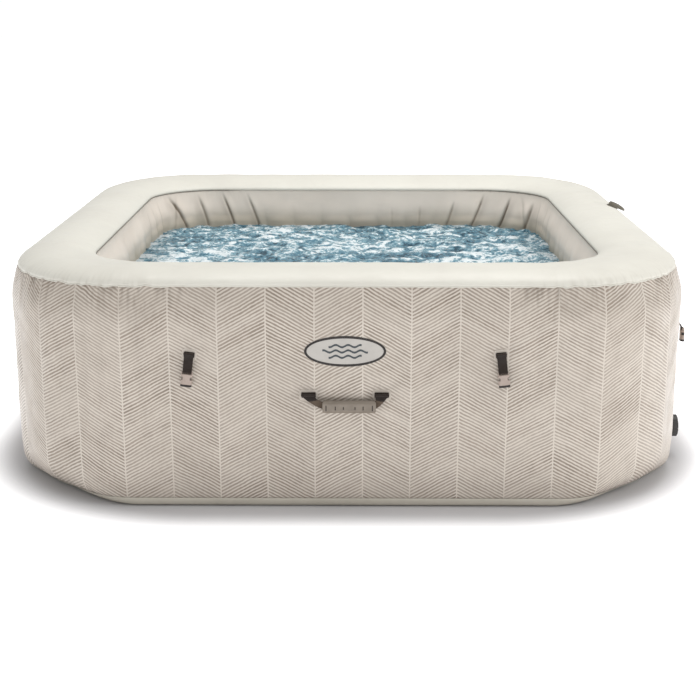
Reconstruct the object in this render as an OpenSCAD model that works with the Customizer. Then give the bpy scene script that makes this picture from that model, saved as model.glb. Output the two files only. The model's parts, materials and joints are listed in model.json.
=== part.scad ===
/* [Tub] */
// Outer width and length of the square tub
tub_w = 2110; // [1900:10:2300]
// Height from the ground to the crest of the rim
tub_h = 710; // [660:5:760]
// Outer corner radius, seen from above
corner_r = 430; // [400:5:460]
// Thickness of the air wall, outer face to pool face
wall_t = 266; // [250:2:280]
// Corner radius of the pool below the shoulder
pool_r = 280; // [250:5:300]
// Thickness of the laminated skin
skin = 2.4; // [1.8:0.2:3.2]

/* [Rim and base] */
// Height of the seam between the printed wall and the rim
seam_h = 672; // [640:2:680]
// How far the printed wall leans in at that seam
seam_in = 20; // [10:1:30]
// Height at which the printed wall starts to lean in
lean_h = 560; // [500:10:600]
// Distance of the rim's crest from the outer face
crest_in = 120; // [100:2:140]
// Height of the seam between the rim and the pool wall
pool_seam_h = 676; // [650:2:684]
// Height at which the pool's corners reach their full radius
shoulder_h = 540; // [500:10:580]
// Height of the plain strip round the base
skirt_h = 28; // [26:1:40]
// Radius of the strip's lower edge
skirt_r = 20; // [12:1:24]

/* [Straps and handles] */
// Distance of the front and back straps from the middle
strap_x = 452; // [400:2:480]
// Distance of the side straps from the middle
side_strap_x = 575; // [500:5:580]
// Height of the straps' upper ends
strap_z = 478; // [440:2:500]
// Width of the strap webbing
strap_w = 27; // [24:1:30]
// Length of the webbing between its two loops
strap_len = 54; // [46:1:70]
// Sideways lean of each strap
strap_lean = 7; // [0:1:12]
// Height of the handle's upper ends
handle_z = 356; // [330:2:380]
// Half the distance between the handle's two ends
handle_x = 107; // [100:1:120]
// How far the grip hangs off centre
grip_shift = 12; // [0:1:16]

/* [Fittings] */
// Height of the two water ports
port_z = 235; // [200:5:300]
// Half the distance between the water ports
port_y = 145; // [130:1:150]
// Outer radius of a port's collar
port_r = 36; // [34:1:38]
// Inner radius of a port's collar
port_bore = 29; // [26:1:30]
// How far a port's collar stands out
port_reach = 32; // [26:1:36]
// Height of the drain valve
drain_z = 100; // [90:2:130]
// Distance of the drain valve from the middle
drain_y = 585; // [540:5:590]
// Height of the inflation valve
valve_z = 500; // [440:5:520]
// Distance of the inflation valve from the middle
valve_y = 290; // [260:5:320]
// Distance of the air inlet from the tub's outer face
air_in = 45; // [44:1:60]
// Distance of the air inlet and its duct from the middle
air_y = 245; // [238:1:290]

/* [Hidden] */
$fn = 96;
// Turn from the front of the tub to the front, right, back and left sides
TURN = [0, 90, 180, 270];
// How far each side's straps stand off the wall
LIFT = [6, 34, 6, 6];

half = tub_w / 2;
arc_c = half - corner_r;
pool_half = half - wall_t;
pool_c = pool_half - pool_r;
rim_r = corner_r - wall_t;
base_z = skin;
floor_z = 2 * skin;
pool_z = 3 * skin;
gap = 0.3;

// Tension webs
web_t = 1.6;
web_pitch = 145;
web_hole_r = 42;
corner_web_top = shoulder_h - 10;

// Bubble channel on the pool floor
channel_w = 60;
channel_h = 34;
channel_gap = 4;
bubble_r = 2;
bubble_pitch = 70;
duct_r = 16;
duct_z = 24;
duct_top = 644;
duct_in = 65;

// Badge
badge_a = 119;
badge_b = 46;
badge_rim = 7;
badge_z = 485;
badge_t = 1;

// Strap anchors, webbing and buckles
strap_off = 9;
anchor_t = 2;
pin_r = 1.7;
loop_r = 3.6;
web_strap_t = 3;
lug_w = 2;
buckle_t = 12;
buckle_w = strap_w + 6;
buckle_len = 38;
rail_w = 2.4;
mouth_w = 25;
mouth_t = 6.4;
mouth_depth = 25;

// Handles
handle_off = 17;
handle_strap_w = 38;
handle_neck = 7;
handle_top = 15;
grip_len = 156;
grip_h = 38;
grip_t = 22;
grip_l = grip_shift - grip_len / 2;
grip_r = grip_shift + grip_len / 2;
grip_mid = -handle_top - grip_h / 2;
grip_end_r = 9;
grip_web = 28;
// Distance of each groove from the grip's left end, and its length
grip_grooves = [[10.5, 18], [37.5, 12], [61, 9], [95, 9], [118.5, 12], [145.5, 18]];

// Fittings
flange_r = 52;
flange_t = 4;
plug_t = 18;
head_t = 7;
drain_r = 30;
drain_reach = 34;
drain_cap_r = 36;
drain_grip = 10;
drain_in_r = 24;
drain_in = 24;
cap_t = 4;
gasket_t = 2;
valve_r = 26;
valve_reach = 12;
valve_depth = 28;
valve_bore = 18;
valve_floor = 6;
stem_travel = 6;
air_pipe_r = 15;
air_bore = 11;
air_pipe_len = 49;
air_flange_r = 22;
air_top = 2;
air_z = 697;
air_tilt = 22;
hood_h = 16;
hood_r = 18;
hood_len = 50;
hood_round = 10;
hood_mouth = 18;
hood_mouth_x = 25;

// Colours
printed = [0.78, 0.73, 0.67];
cream = [0.91, 0.89, 0.84];
plain = [0.68, 0.64, 0.58];
inside = [0.80, 0.77, 0.72];
webbing = [0.22, 0.17, 0.14];
taupe = [0.52, 0.47, 0.40];
dark = [0.25, 0.25, 0.25];

// Distance that the printed wall leans in at height z
function lean(z) = z < lean_h ? 0 : seam_in * pow((z - lean_h) / (seam_h - lean_h), 2);

// A square with round corners: half its width, and its corner radius
module round_square(h, r) {
  square([2 * h, 2 * (h - r)], center = true);
  square([2 * (h - r), 2 * h], center = true);
  for (x = [-1, 1], y = [-1, 1]) translate([x * (h - r), y * (h - r)]) circle(r);
}

// Flat ring or plate with round corners
module plate(h, r, t) linear_extrude(t) round_square(h, r);

// Carries a section round the tub. x in the section is the distance from the corner's centre.
module around() {
  for (q = [0:3]) rotate([0, 0, 90 * q]) translate([arc_c, arc_c, 0]) {
    rotate_extrude(angle = 90) children();
    rotate([90, 0, 0]) linear_extrude(2 * arc_c) children();
  }
}

// A rounded bar's section, longer along y
module stadium(w, h) {
  r = min(w, h) / 2;
  square([w - (w < h ? 0 : 2 * r), h - (w < h ? 2 * r : 0)], center = true);
  for (s = [-1, 1]) translate(w < h ? [0, s * (h / 2 - r)] : [s * (w / 2 - r), 0]) circle(r);
}

// Stands a fitting on the right-hand wall, its own z pointing out
module on_right(y, z) translate([half, y, z]) rotate([0, 90, 0]) children();

module tube(r, bore, h) difference() {
  cylinder(r = r, h = h);
  translate([0, 0, -1]) cylinder(r = bore, h = h + 2);
}

// Clearance holes through the whole wall for the water ports and the drain
module wall_holes() {
  for (s = [-1, 1]) on_right(s * port_y, port_z)
    translate([0, 0, -wall_t - 20]) cylinder(r = port_r + gap, h = wall_t + 40);
  on_right(-drain_y, drain_z)
    translate([0, 0, -wall_t - 40]) cylinder(r = drain_in_r + gap, h = wall_t + 60);
}

module outer_section() {
  steps = [skirt_h, lean_h, lean_h + 40, lean_h + 70, lean_h + 95, seam_h];
  polygon(concat(
    [for (z = steps) [corner_r - lean(z), z]],
    [for (i = [5:-1:0]) [corner_r - lean(steps[i]) - skin, steps[i]]]
  ));
}

module outer_wall() color(printed) difference() {
  around() outer_section();
  wall_holes();
  on_right(-valve_y, valve_z) translate([0, 0, -30]) cylinder(r = valve_r + gap, h = 60);
}

// The rim's upper line from its outer seam over the crest to the pool seam, t below its surface
function rim_line(t) = concat(
  [for (a = [0:15:90]) [
    corner_r - crest_in + (crest_in - seam_in - t) * cos(a), seam_h + (tub_h - seam_h - t) * sin(a)
  ]],
  [for (a = [75:-15:0]) [
    corner_r - crest_in - (wall_t - crest_in - t) * cos(a),
    pool_seam_h + (tub_h - pool_seam_h - t) * sin(a)
  ]]
);

function reversed(list) = [for (i = [len(list) - 1:-1:0]) list[i]];

module rim_panel() color(cream) difference() {
  around() polygon(concat(rim_line(0), reversed(rim_line(skin))));
  at_air_inlet() translate([0, 0, -40]) cylinder(r = air_pipe_r + gap, h = 60);
}

module base_skirt() color(plain) around() {
  x0 = corner_r - skirt_r;
  polygon(concat(
    [[x0 - 36, 0]],
    [for (a = [-90:15:0]) [x0 + skirt_r * cos(a), skirt_r + skirt_r * sin(a)]],
    [[corner_r, skirt_h], [corner_r - skin, skirt_h]],
    [for (a = [0:-15:-90]) [x0 + (skirt_r - skin) * cos(a), skirt_r + (skirt_r - skin) * sin(a)]],
    [[x0 - 36, skin]]
  ));
}

module base_panel() color(plain) translate([0, 0, base_z]) difference() {
  plate(half - skirt_r - 4, corner_r - skirt_r - 4, skin);
  translate([0, 0, -1]) plate(pool_half - 40, pool_r - 40, skin + 2);
}

module floor_liner() color(inside) translate([0, 0, floor_z]) plate(pool_half + skin, pool_r + skin, skin);

// The pool's shape: straight below the shoulder, with tighter corners at the rim
module pool_shape(grow, over) {
  translate([0, 0, pool_z - over])
    plate(pool_half + grow, pool_r + grow, shoulder_h - pool_z + over);
  hull() {
    translate([0, 0, shoulder_h]) plate(pool_half + grow, pool_r + grow, 0.5, $fn = 48);
    translate([0, 0, pool_seam_h - 0.5]) plate(pool_half + grow, rim_r + grow, 0.5 + over, $fn = 48);
  }
}

module pool_wall() color(inside) difference() {
  pool_shape(skin, 0);
  pool_shape(0, 1);
  wall_holes();
  on_right(air_y, duct_z) translate([0, 0, -wall_t - 20]) cylinder(r = duct_r + gap, h = 40);
}

// How far from the outer corner's centre a corner web starts, at an angle to the side
function web_start(a) =
  let(d = arc_c - pool_c, b = d * (cos(a) + sin(a)), r = pool_r + skin)
  sqrt(b * b + r * r - 2 * d * d) - b + gap;

// One web, standing on its lower edge, with round holes that let the air through
module web(length, top) difference() {
  cube([length, web_t, top - skirt_h]);
  for (z = [web_hole_r + 30:2 * web_hole_r + 40:top - skirt_h - web_hole_r - 20])
    translate([length / 2, -1, z]) rotate([-90, 0, 0]) cylinder(r = web_hole_r, h = web_t + 2);
}

// Each side's webs, and two radial webs in each corner. The right side's webs clear its fittings.
module tension_webs() color("white") for (q = [0:3]) rotate([0, 0, 90 * q]) {
  for (i = [-3:3]) if (q > 0 || i > -3) translate([
    pool_half + skin,
    (q > 0 ? i : i - 0.5) * web_pitch - web_t / 2,
    skirt_h
  ]) web(wall_t - 2 * skin, lean_h);
  for (a = [30, 60]) translate([arc_c, arc_c, skirt_h]) rotate([0, 0, a])
    translate([web_start(a), -web_t / 2, 0])
      web(corner_r - skin - gap - web_start(a), corner_web_top);
}

module channel_section() {
  difference() {
    round_square(pool_half - channel_gap, pool_r - channel_gap);
    round_square(pool_half - channel_gap - channel_w, pool_r - channel_gap - channel_w);
  }
}

// A welded tube on the pool floor, with rows of small holes in its top
module bubble_channel() color(inside) difference() {
  translate([0, 0, pool_z]) linear_extrude(channel_h) channel_section();
  translate([0, 0, pool_z + skin]) linear_extrude(channel_h - 2 * skin) difference() {
    round_square(pool_half - channel_gap - skin, pool_r - channel_gap - skin);
    round_square(
      pool_half - channel_gap - channel_w + skin,
      pool_r - channel_gap - channel_w + skin
    );
  }
  for (q = [0:3], i = [-7:7]) rotate([0, 0, 90 * q])
    translate([pool_half - channel_gap - channel_w / 2, i * bubble_pitch, pool_z + channel_h / 2])
      cylinder(r = bubble_r, h = channel_h);
  on_right(air_y, duct_z) translate([0, 0, -wall_t - channel_gap - 20]) cylinder(r = duct_r - 3, h = 40);
}

// Carries air from the inlet down inside the wall, and in to the bubble channel
module air_duct() color("white") difference() {
  x = half - duct_in;
  union() {
    translate([x, air_y, duct_z]) cylinder(r = duct_r, h = duct_top - duct_z);
    translate([x, air_y, duct_z]) sphere(r = duct_r);
    translate([x, air_y, duct_z]) rotate([0, -90, 0])
      cylinder(r = duct_r, h = x - pool_half + channel_gap);
  }
  translate([x, air_y, duct_z]) cylinder(r = duct_r - skin, h = duct_top);
  translate([x, air_y, duct_z]) sphere(r = duct_r - skin);
  translate([x, air_y, duct_z]) rotate([0, -90, 0]) cylinder(r = duct_r - skin, h = wall_t + 20);
}

// The points of an ellipse
function oval(a, b, step) = [for (t = [0:step:360 - step]) [a * cos(t), b * sin(t)]];

module on_front(z) translate([0, -half, z]) rotate([90, 0, 0]) children();

module badge_border() color(webbing) on_front(badge_z) linear_extrude(badge_t) difference() {
  polygon(oval(badge_a, badge_b, 5));
  polygon(oval(badge_a - badge_rim, badge_b - badge_rim, 5));
}

module badge_panel() color("gainsboro") on_front(badge_z) linear_extrude(badge_t * 0.6)
  polygon(oval(badge_a - badge_rim - gap, badge_b - badge_rim - gap, 5));

// Three plain waves on the badge
module badge_waves() color([0.30, 0.42, 0.47]) on_front(badge_z) {
  wave_a = 3.5;
  wave_l = 36;
  wave_w = 3;
  translate([0, 0, badge_t * 0.6]) linear_extrude(badge_t * 0.4)
    for (row = [-1:1]) {
      reach = row == 0 ? 66 : 48;
      polygon(concat(
        [for (x = [-reach:4:reach]) [x, row * 16 + wave_w + wave_a * sin(360 * x / wave_l)]],
        [for (x = [reach:-4:-reach]) [x, row * 16 - wave_w + wave_a * sin(360 * x / wave_l)]]
      ));
    }
}

// Puts a strap's parts on side i, at the left (-1) or right (1) seen from outside.
// Its own origin is the strap's hinge line, and its own -y points away from the tub.
module at_strap(i, hand) {
  x = i % 2 == 0 ? strap_x : side_strap_x;
  rotate([0, 0, TURN[i]]) translate([hand * x, -half - strap_off, strap_z])
    rotate([0, -hand * strap_lean, 0]) children();
}

module bar(r, length) rotate([0, 90, 0]) translate([0, 0, -length / 2]) cylinder(r = r, h = length);

// A welded patch with two lugs and the pin that a webbing loop turns on
module anchor(width, off) {
  lug_x = width / 2 + 0.6;
  translate([-lug_x - lug_w, off - anchor_t, -12]) cube([2 * (lug_x + lug_w), anchor_t, 17]);
  for (s = [0, 1]) mirror([s, 0, 0]) {
    translate([lug_x, 0, -3]) cube([lug_w, off - anchor_t, 6]);
    translate([lug_x, 0, 0]) rotate([0, 90, 0]) cylinder(r = 3, h = lug_w);
  }
  bar(pin_r, 2 * lug_x + 1);
}

module strap_anchors() color(webbing) for (i = [0:3], hand = [-1, 1]) at_strap(i, hand)
  anchor(strap_w, strap_off);

// Webbing folded into a loop at each end
module strap(i, hand) color(webbing) at_strap(i, hand) rotate([-LIFT[i], 0, 0]) difference() {
  union() {
    bar(loop_r, strap_w);
    translate([0, 0, -strap_len]) bar(loop_r, strap_w);
    translate([-strap_w / 2, -web_strap_t / 2, -strap_len]) cube([strap_w, web_strap_t, strap_len]);
  }
  bar(pin_r + gap, strap_w + 2);
  translate([0, 0, -strap_len]) bar(pin_r + gap, strap_w + 2);
}

// The socket half of a side-release buckle, hanging straight down from the webbing
module buckle(i, hand) color(taupe) at_strap(i, hand)
  translate([0, -strap_len * sin(LIFT[i]), -strap_len * cos(LIFT[i])]) difference() {
    union() {
      bar(pin_r, buckle_w - 1);
      for (s = [0, 1]) mirror([s, 0, 0]) {
        translate([buckle_w / 2 - rail_w, -3, -loop_r - 2]) cube([rail_w, 6, loop_r + 2]);
        translate([buckle_w / 2 - rail_w, 0, 0]) rotate([0, 90, 0]) cylinder(r = 3, h = rail_w);
      }
      translate([0, 0, -loop_r - 1.4 - buckle_len]) linear_extrude(buckle_len) stadium(buckle_w, buckle_t);
    }
    translate([0, 0, -loop_r - 2.4 - buckle_len]) linear_extrude(mouth_depth + 1)
      square([mouth_w, mouth_t], center = true);
    for (s = [-1, 1]) translate([s * buckle_w / 2, 0, -loop_r - 14])
      rotate([90, 0, 0]) translate([0, 0, -buckle_t]) cylinder(r = 5, h = 2 * buckle_t);
  }

module at_handle(i) rotate([0, 0, TURN[i]]) translate([0, -half - handle_off, handle_z]) children();

module handle_anchors() color(webbing) for (i = [0, 2], s = [-1, 1]) at_handle(i)
  translate([s * handle_x, 0, 0]) anchor(handle_strap_w, handle_off);

// One strap from anchor to anchor, through the grip
module handle_strap(i) color(webbing) at_handle(i) difference() {
  hw = handle_strap_w / 2;
  top = grip_mid + grip_web / 2;
  foot = grip_mid - grip_web / 2;
  union() {
    for (s = [-1, 1]) translate([s * handle_x, 0, 0]) bar(loop_r, handle_strap_w);
    rotate([90, 0, 0]) translate([0, 0, -web_strap_t / 2]) linear_extrude(web_strap_t) polygon([
      [-handle_x - hw, 0], [-handle_x + hw, 0], [-handle_x + hw, -handle_neck], [grip_l, top],
      [grip_r, top], [handle_x - hw, -handle_neck], [handle_x - hw, 0], [handle_x + hw, 0],
      [handle_x + hw, -handle_neck], [grip_r + 4, foot], [grip_l - 4, foot], [-handle_x - hw, -handle_neck]
    ]);
  }
  for (s = [-1, 1]) translate([s * handle_x, 0, 0]) bar(pin_r + gap, handle_strap_w + 2);
}

// A moulded sleeve with round ends, and grooves on its front and back
module handle_grip(i) color(taupe) at_handle(i) difference() {
  intersection() {
    translate([grip_l, 0, grip_mid]) rotate([90, 0, 90]) linear_extrude(grip_len) stadium(grip_t, grip_h);
    translate([0, grip_t, grip_mid]) rotate([90, 0, 0]) linear_extrude(2 * grip_t) {
      translate([grip_l, grip_end_r - grip_h / 2]) square([grip_len, grip_h - 2 * grip_end_r]);
      translate([grip_l + grip_end_r, -grip_h / 2]) square([grip_len - 2 * grip_end_r, grip_h]);
      for (x = [grip_l + grip_end_r, grip_r - grip_end_r], z = [-1, 1])
        translate([x, z * (grip_h / 2 - grip_end_r)]) circle(grip_end_r);
    }
  }
  translate([grip_l - 1, -web_strap_t / 2 - gap, grip_mid - grip_web / 2 - gap])
    cube([grip_len + 2, web_strap_t + 2 * gap, grip_web + 2 * gap]);
  for (g = grip_grooves, s = [-1, 1])
    translate([grip_l + g[0] - 1.5, s * grip_t / 2 - 3, grip_mid - g[1] / 2 - 2]) cube([3, 6, g[1]]);
}

// A tube through the wall with a flange on each face and a collar outside
module water_port(s) color(dark) on_right(s * port_y, port_z) difference() {
  union() {
    translate([0, 0, -wall_t - flange_t]) cylinder(r = port_r, h = wall_t + flange_t + port_reach);
    translate([0, 0, -wall_t - flange_t]) cylinder(r = flange_r, h = flange_t);
    cylinder(r = flange_r, h = flange_t);
  }
  translate([0, 0, -wall_t - flange_t - 1]) cylinder(r = port_bore, h = wall_t + port_reach + 20);
}

module port_gaskets() color("black") for (s = [-1, 1]) on_right(s * port_y, port_z)
  translate([0, 0, port_reach]) tube(port_r - 1.5, port_bore + 1, gasket_t);

// Screws into a port from the pool side
module port_plug(s) color(dark) on_right(s * port_y, port_z)
  translate([0, 0, -wall_t - flange_t - gap]) {
    cylinder(r = port_bore - gap, h = plug_t);
    translate([0, 0, -head_t]) cylinder(r = flange_r - 8, h = head_t);
    translate([-5, -30, -head_t - 12]) cube([10, 60, 12]);
  }

module drain_port() color(dark) on_right(-drain_y, drain_z) difference() {
  union() {
    translate([0, 0, -wall_t - drain_in]) cylinder(r = drain_in_r, h = wall_t + drain_in);
    cylinder(r = flange_r - 8, h = flange_t);
    translate([0, 0, flange_t]) cylinder(r = drain_r, h = drain_reach - flange_t);
  }
  translate([0, 0, -wall_t - drain_in - 1])
    cylinder(r = drain_in_r - cap_t, h = wall_t + drain_in + drain_reach + 2);
}

module drain_gasket() color("black") on_right(-drain_y, drain_z)
  translate([0, 0, drain_reach]) tube(drain_r - 2, drain_in_r - 3, gasket_t);

// Screw cap over the drain's collar, with finger notches round its edge
module drain_cap() color(dark) on_right(-drain_y, drain_z)
  translate([0, 0, drain_reach - drain_grip]) difference() {
    depth = drain_grip + gasket_t + gap;
    cylinder(r = drain_cap_r, h = depth + cap_t);
    translate([0, 0, -1]) cylinder(r = drain_r + gap, h = depth + 1);
    for (a = [0:45:315]) rotate([0, 0, a])
      translate([drain_cap_r + 2, 0, -1]) cylinder(r = 4, h = depth + cap_t + 2);
  }

// A grid in the drain's mouth inside the pool
module drain_screen() color(dark) on_right(-drain_y, drain_z)
  translate([0, 0, -wall_t - drain_in]) difference() {
    cylinder(r = drain_in_r - cap_t, h = 3);
    for (x = [-12:6:12], y = [-12:6:12]) if (norm([x, y]) < 15)
      translate([x, y, -1]) cylinder(r = 2, h = 5);
  }

// Cup welded into the wall, with air holes in its floor
module valve_body() color(dark) on_right(-valve_y, valve_z) difference() {
  union() {
    translate([0, 0, -valve_depth]) cylinder(r = valve_r, h = valve_depth + valve_reach);
    cylinder(r = valve_r + 10, h = 3);
  }
  translate([0, 0, valve_floor - valve_depth]) cylinder(r = valve_bore, h = 60);
  for (a = [45:90:315]) rotate([0, 0, a]) translate([11, 0, -valve_depth - 1]) cylinder(r = 4, h = 30);
}

// Sprung stem with its rubber flap, which seals the valve
module valve_stem() color(cream) on_right(-valve_y, valve_z)
  translate([0, 0, valve_floor - valve_depth + stem_travel + 1]) {
    cylinder(r = valve_bore - 1, h = 2.5);
    cylinder(r = 4, h = 16);
  }

module valve_cap() color(dark) on_right(-valve_y, valve_z) translate([0, 0, 4]) difference() {
  depth = valve_reach - 4 + gap;
  cylinder(r = valve_r + cap_t, h = depth + cap_t);
  translate([0, 0, -1]) cylinder(r = valve_r + gap, h = depth + 1);
  for (a = [0:30:330]) rotate([0, 0, a]) translate([valve_r + 5, 0, -1]) cylinder(r = 2, h = 30);
}

// The air inlet stands square to the rim's outer slope
module at_air_inlet() translate([half - air_in, air_y, air_z]) rotate([0, air_tilt, 0]) children();

// Pipe through the rim, with a flange that follows the rim's slope
module air_inlet_base() color(dark) difference() {
  union() {
    at_air_inlet() translate([0, 0, -air_pipe_len]) cylinder(r = air_pipe_r, h = air_pipe_len + air_top);
    difference() {
      at_air_inlet() translate([0, 0, -12]) cylinder(r = air_flange_r, h = air_top + 12);
      translate([arc_c, air_y + 40, 0.1]) rotate([90, 0, 0]) linear_extrude(80)
        polygon(concat(rim_line(0), [[corner_r - wall_t, 0], [corner_r - seam_in, 0]]));
    }
  }
  at_air_inlet() translate([0, 0, -air_pipe_len - 1]) cylinder(r = air_bore, h = 100);
}

// A low arch seen from the side, with rounded shoulders and round ends
module hood_shape(in) intersection() {
  r = hood_r - in;
  linear_extrude(hood_h) {
    circle(r);
    translate([hood_len - hood_r, 0]) circle(r);
    translate([0, -r]) square([hood_len - hood_r, 2 * r]);
  }
  translate([-hood_r, 0, 0]) rotate([90, 0, 90]) linear_extrude(hood_r + hood_len) {
    translate([-r, -1]) square([2 * r, hood_h - hood_round + 1]);
    translate([hood_round - hood_r, -1]) square([2 * (hood_r - hood_round), hood_h - in + 1]);
    for (s = [-1, 1]) translate([s * (hood_r - hood_round), hood_h - hood_round])
      circle(hood_round - in);
  }
  translate([0, hood_r, 0]) rotate([90, 0, 0]) linear_extrude(2 * hood_r) polygon([
    for (p = [
      [-hood_r, -1], [-hood_r, 8], [-13, 14], [-3, hood_h], [20, 15], [36, 11.5], [46, 6.5], [hood_len, -1]
    ]) [p.x < 0 ? p.x + in : p.x - in, p.y - in]
  ]);
}

// Low cowl that turns on the base. Its mouth opens down over the rim's edge.
module air_inlet_hood() color(dark) at_air_inlet() translate([0, 0, air_top + gap]) difference() {
  hood_shape(0);
  intersection() {
    hood_shape(skin);
    translate([-hood_r, -hood_r, skin]) cube([hood_r + hood_len, 2 * hood_r, hood_h]);
  }
  translate([0, 0, -1]) cylinder(r = air_bore, h = 5);
  translate([hood_mouth_x, -hood_mouth / 2, -1]) cube([hood_mouth, hood_mouth, skin + 2]);
}

outer_wall();
rim_panel();
base_skirt();
base_panel();
floor_liner();
pool_wall();
tension_webs();
bubble_channel();
air_duct();
badge_border();
badge_panel();
badge_waves();
strap_anchors();
handle_anchors();
strap(0, -1);  // front_strap_l
buckle(0, -1);  // front_buckle_l
strap(0, 1);  // front_strap_r
buckle(0, 1);  // front_buckle_r
strap(1, -1);  // right_strap_l
buckle(1, -1);  // right_buckle_l
strap(1, 1);  // right_strap_r
buckle(1, 1);  // right_buckle_r
strap(2, -1);  // back_strap_l
buckle(2, -1);  // back_buckle_l
strap(2, 1);  // back_strap_r
buckle(2, 1);  // back_buckle_r
strap(3, -1);  // left_strap_l
buckle(3, -1);  // left_buckle_l
strap(3, 1);  // left_strap_r
buckle(3, 1);  // left_buckle_r
handle_strap(0);  // front_handle_strap
handle_grip(0);  // front_handle_grip
handle_strap(2);  // back_handle_strap
handle_grip(2);  // back_handle_grip
water_port(-1);  // inlet_port
water_port(1);  // outlet_port
port_gaskets();
port_plug(-1);  // inlet_plug
port_plug(1);  // outlet_plug
drain_port();
drain_gasket();
drain_cap();
drain_screen();
valve_body();
valve_stem();
valve_cap();
air_inlet_base();
air_inlet_hood();
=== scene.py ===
"""Looks of the inflatable hot tub: printed wall, padded rim, pool, water, webbing and fittings. Metres."""
import json
import math
import bpy
import numpy as np
from mathutils import Matrix, Vector, geometry, noise


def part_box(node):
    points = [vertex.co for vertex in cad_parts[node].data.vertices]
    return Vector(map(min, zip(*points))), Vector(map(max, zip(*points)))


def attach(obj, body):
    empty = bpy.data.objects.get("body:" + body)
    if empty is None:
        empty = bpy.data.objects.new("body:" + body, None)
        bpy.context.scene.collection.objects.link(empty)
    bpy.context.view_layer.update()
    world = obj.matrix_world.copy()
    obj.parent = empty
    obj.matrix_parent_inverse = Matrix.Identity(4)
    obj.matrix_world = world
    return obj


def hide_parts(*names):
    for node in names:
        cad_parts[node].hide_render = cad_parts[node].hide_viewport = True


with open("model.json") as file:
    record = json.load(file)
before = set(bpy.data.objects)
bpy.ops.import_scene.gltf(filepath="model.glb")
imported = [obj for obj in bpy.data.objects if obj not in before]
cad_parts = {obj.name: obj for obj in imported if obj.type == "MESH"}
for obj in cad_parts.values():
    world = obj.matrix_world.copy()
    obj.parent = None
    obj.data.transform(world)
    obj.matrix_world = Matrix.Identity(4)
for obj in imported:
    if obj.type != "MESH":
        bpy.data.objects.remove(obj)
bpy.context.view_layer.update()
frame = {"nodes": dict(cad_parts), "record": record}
NODES = frame["nodes"]

# Sizes that the CAD model has and its boxes don't give
CORNER_R = 0.430      # outer corners, seen from above
SEAM_IN = 0.020       # how far in the wall leans up to the seam under the rim
LEAN_Z = 0.560        # where it starts to lean
CREST_IN = 0.120      # how far in the rim is highest
POOL_HALF = 0.789     # half the pool's width
POOL_R = 0.280        # the pool's corners
SHOULDER_Z = 0.540    # where they start to tighten towards the rim
SKIRT_R = 0.020       # the round lower edge of the wall
WEB_PITCH = 0.145
PORT_Y, PORT_Z = 0.145, 0.235
DRAIN_Y, DRAIN_Z = -0.585, 0.100
VALVE_Y, VALVE_Z = -0.290, 0.500
PIN_R, LOOP_R = 0.0017, 0.0036

# Cover straps. The lists give the front, right, back and left in turn. A strap hangs out by LIFT degrees
SIDES = ["front", "right", "back", "left"]
STRAP_X = [0.452, 0.575, 0.452, 0.575]
LIFT = [6, 34, 6, 6]
STRAP_Z, STRAP_OFF, STRAP_LEAN = 0.478, 0.009, 7
STRAP_LEN, STRAP_W, STRAP_T = 0.054, 0.027, 0.0026

# Handles: their pins, and the grip's ends, foot and top from the middle between the pins
HANDLE_SIDES = (0, 2)
HANDLE_X, HANDLE_Z, HANDLE_OFF = 0.107, 0.356, 0.017
HANDLE_W, HANDLE_T = 0.038, 0.0046
GRIP_L, GRIP_R, GRIP_LOW, GRIP_HIGH = -0.066, 0.090, -0.053, -0.015
# Each groove of the grip: distance from its left end, and length
GRIP_GROOVES = ((0.0105, 0.018), (0.0375, 0.012), (0.061, 0.009),
                (0.095, 0.009), (0.1185, 0.012), (0.1455, 0.018))

# Sizes of the visual model only
BASE_R = 0.115        # how round the lower edge becomes in the corners
POOL_RIM_R = 0.250    # the pool's corners at the rim
WATER_Z, WATER_DEPTH = 0.527, 0.05
TAB_DROP = 0.004      # how far the middle of an anchor's patch lies under its pin
SEAM_EDGE = 0.006     # the strip of a skin that tucks into a seam
# The floor's painted shadow round the tub takes its shape from SHADE_R
SHADE_R = 0.62        # how round the shaded floor under the tub is at its corners
FAR = 9.0             # farther than any part of the tub

# Sizes read from the CAD model, and what follows from them
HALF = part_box("outer_wall")[1].x
SKIRT_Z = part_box("outer_wall")[0].z
SEAM_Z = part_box("outer_wall")[1].z
RIM_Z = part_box("rim_panel")[1].z
POOL_Z, POOL_SEAM_Z = (corner.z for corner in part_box("pool_wall"))
FLOOR_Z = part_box("floor_liner")[0].z
BASE_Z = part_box("base_panel")[0].z
BADGE_LOW, BADGE_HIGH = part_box("badge_border")
WALL_T = HALF - POOL_HALF
FLAT = HALF - CORNER_R              # from the middle of a side to where its corner starts
BEND = CORNER_R * math.pi / 2       # the way round one corner
QUARTER = 2 * FLAT + BEND
PERIMETER = 4 * QUARTER

# Openings: y, z and radius
PORT_HOLES = [(PORT_Y, PORT_Z, 0.041), (-PORT_Y, PORT_Z, 0.041)]
WALL_HOLES = [*PORT_HOLES, (DRAIN_Y, DRAIN_Z, 0.033), (VALVE_Y, VALVE_Z, 0.030)]
POOL_HOLES = [*PORT_HOLES, (DRAIN_Y, DRAIN_Z, 0.0238)]


# ---------------------------------------------------------------- camera and lamps

# Where the camera is, how far it looks down and turns left, its lens in millimetres, and its shift
CAMERA_PLACE, LOOK_DOWN, LOOK_LEFT = (0.0363, -4.6012, 1.4838), 0.2742, 0.0079
SENSOR, LENS, SHIFT_X, SHIFT_Y = 36, 65.41, 0.0029, 0.0014


def put(obj):
    bpy.context.scene.collection.objects.link(obj)
    return obj


def make_camera():
    data = bpy.data.cameras.new("camera")
    data.sensor_width, data.lens, data.shift_x, data.shift_y = SENSOR, LENS, SHIFT_X, SHIFT_Y
    camera = put(bpy.data.objects.new("camera", data))
    camera.location = CAMERA_PLACE
    camera.rotation_euler = (math.pi / 2 - LOOK_DOWN, 0, LOOK_LEFT)
    bpy.context.scene.camera = camera


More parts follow.
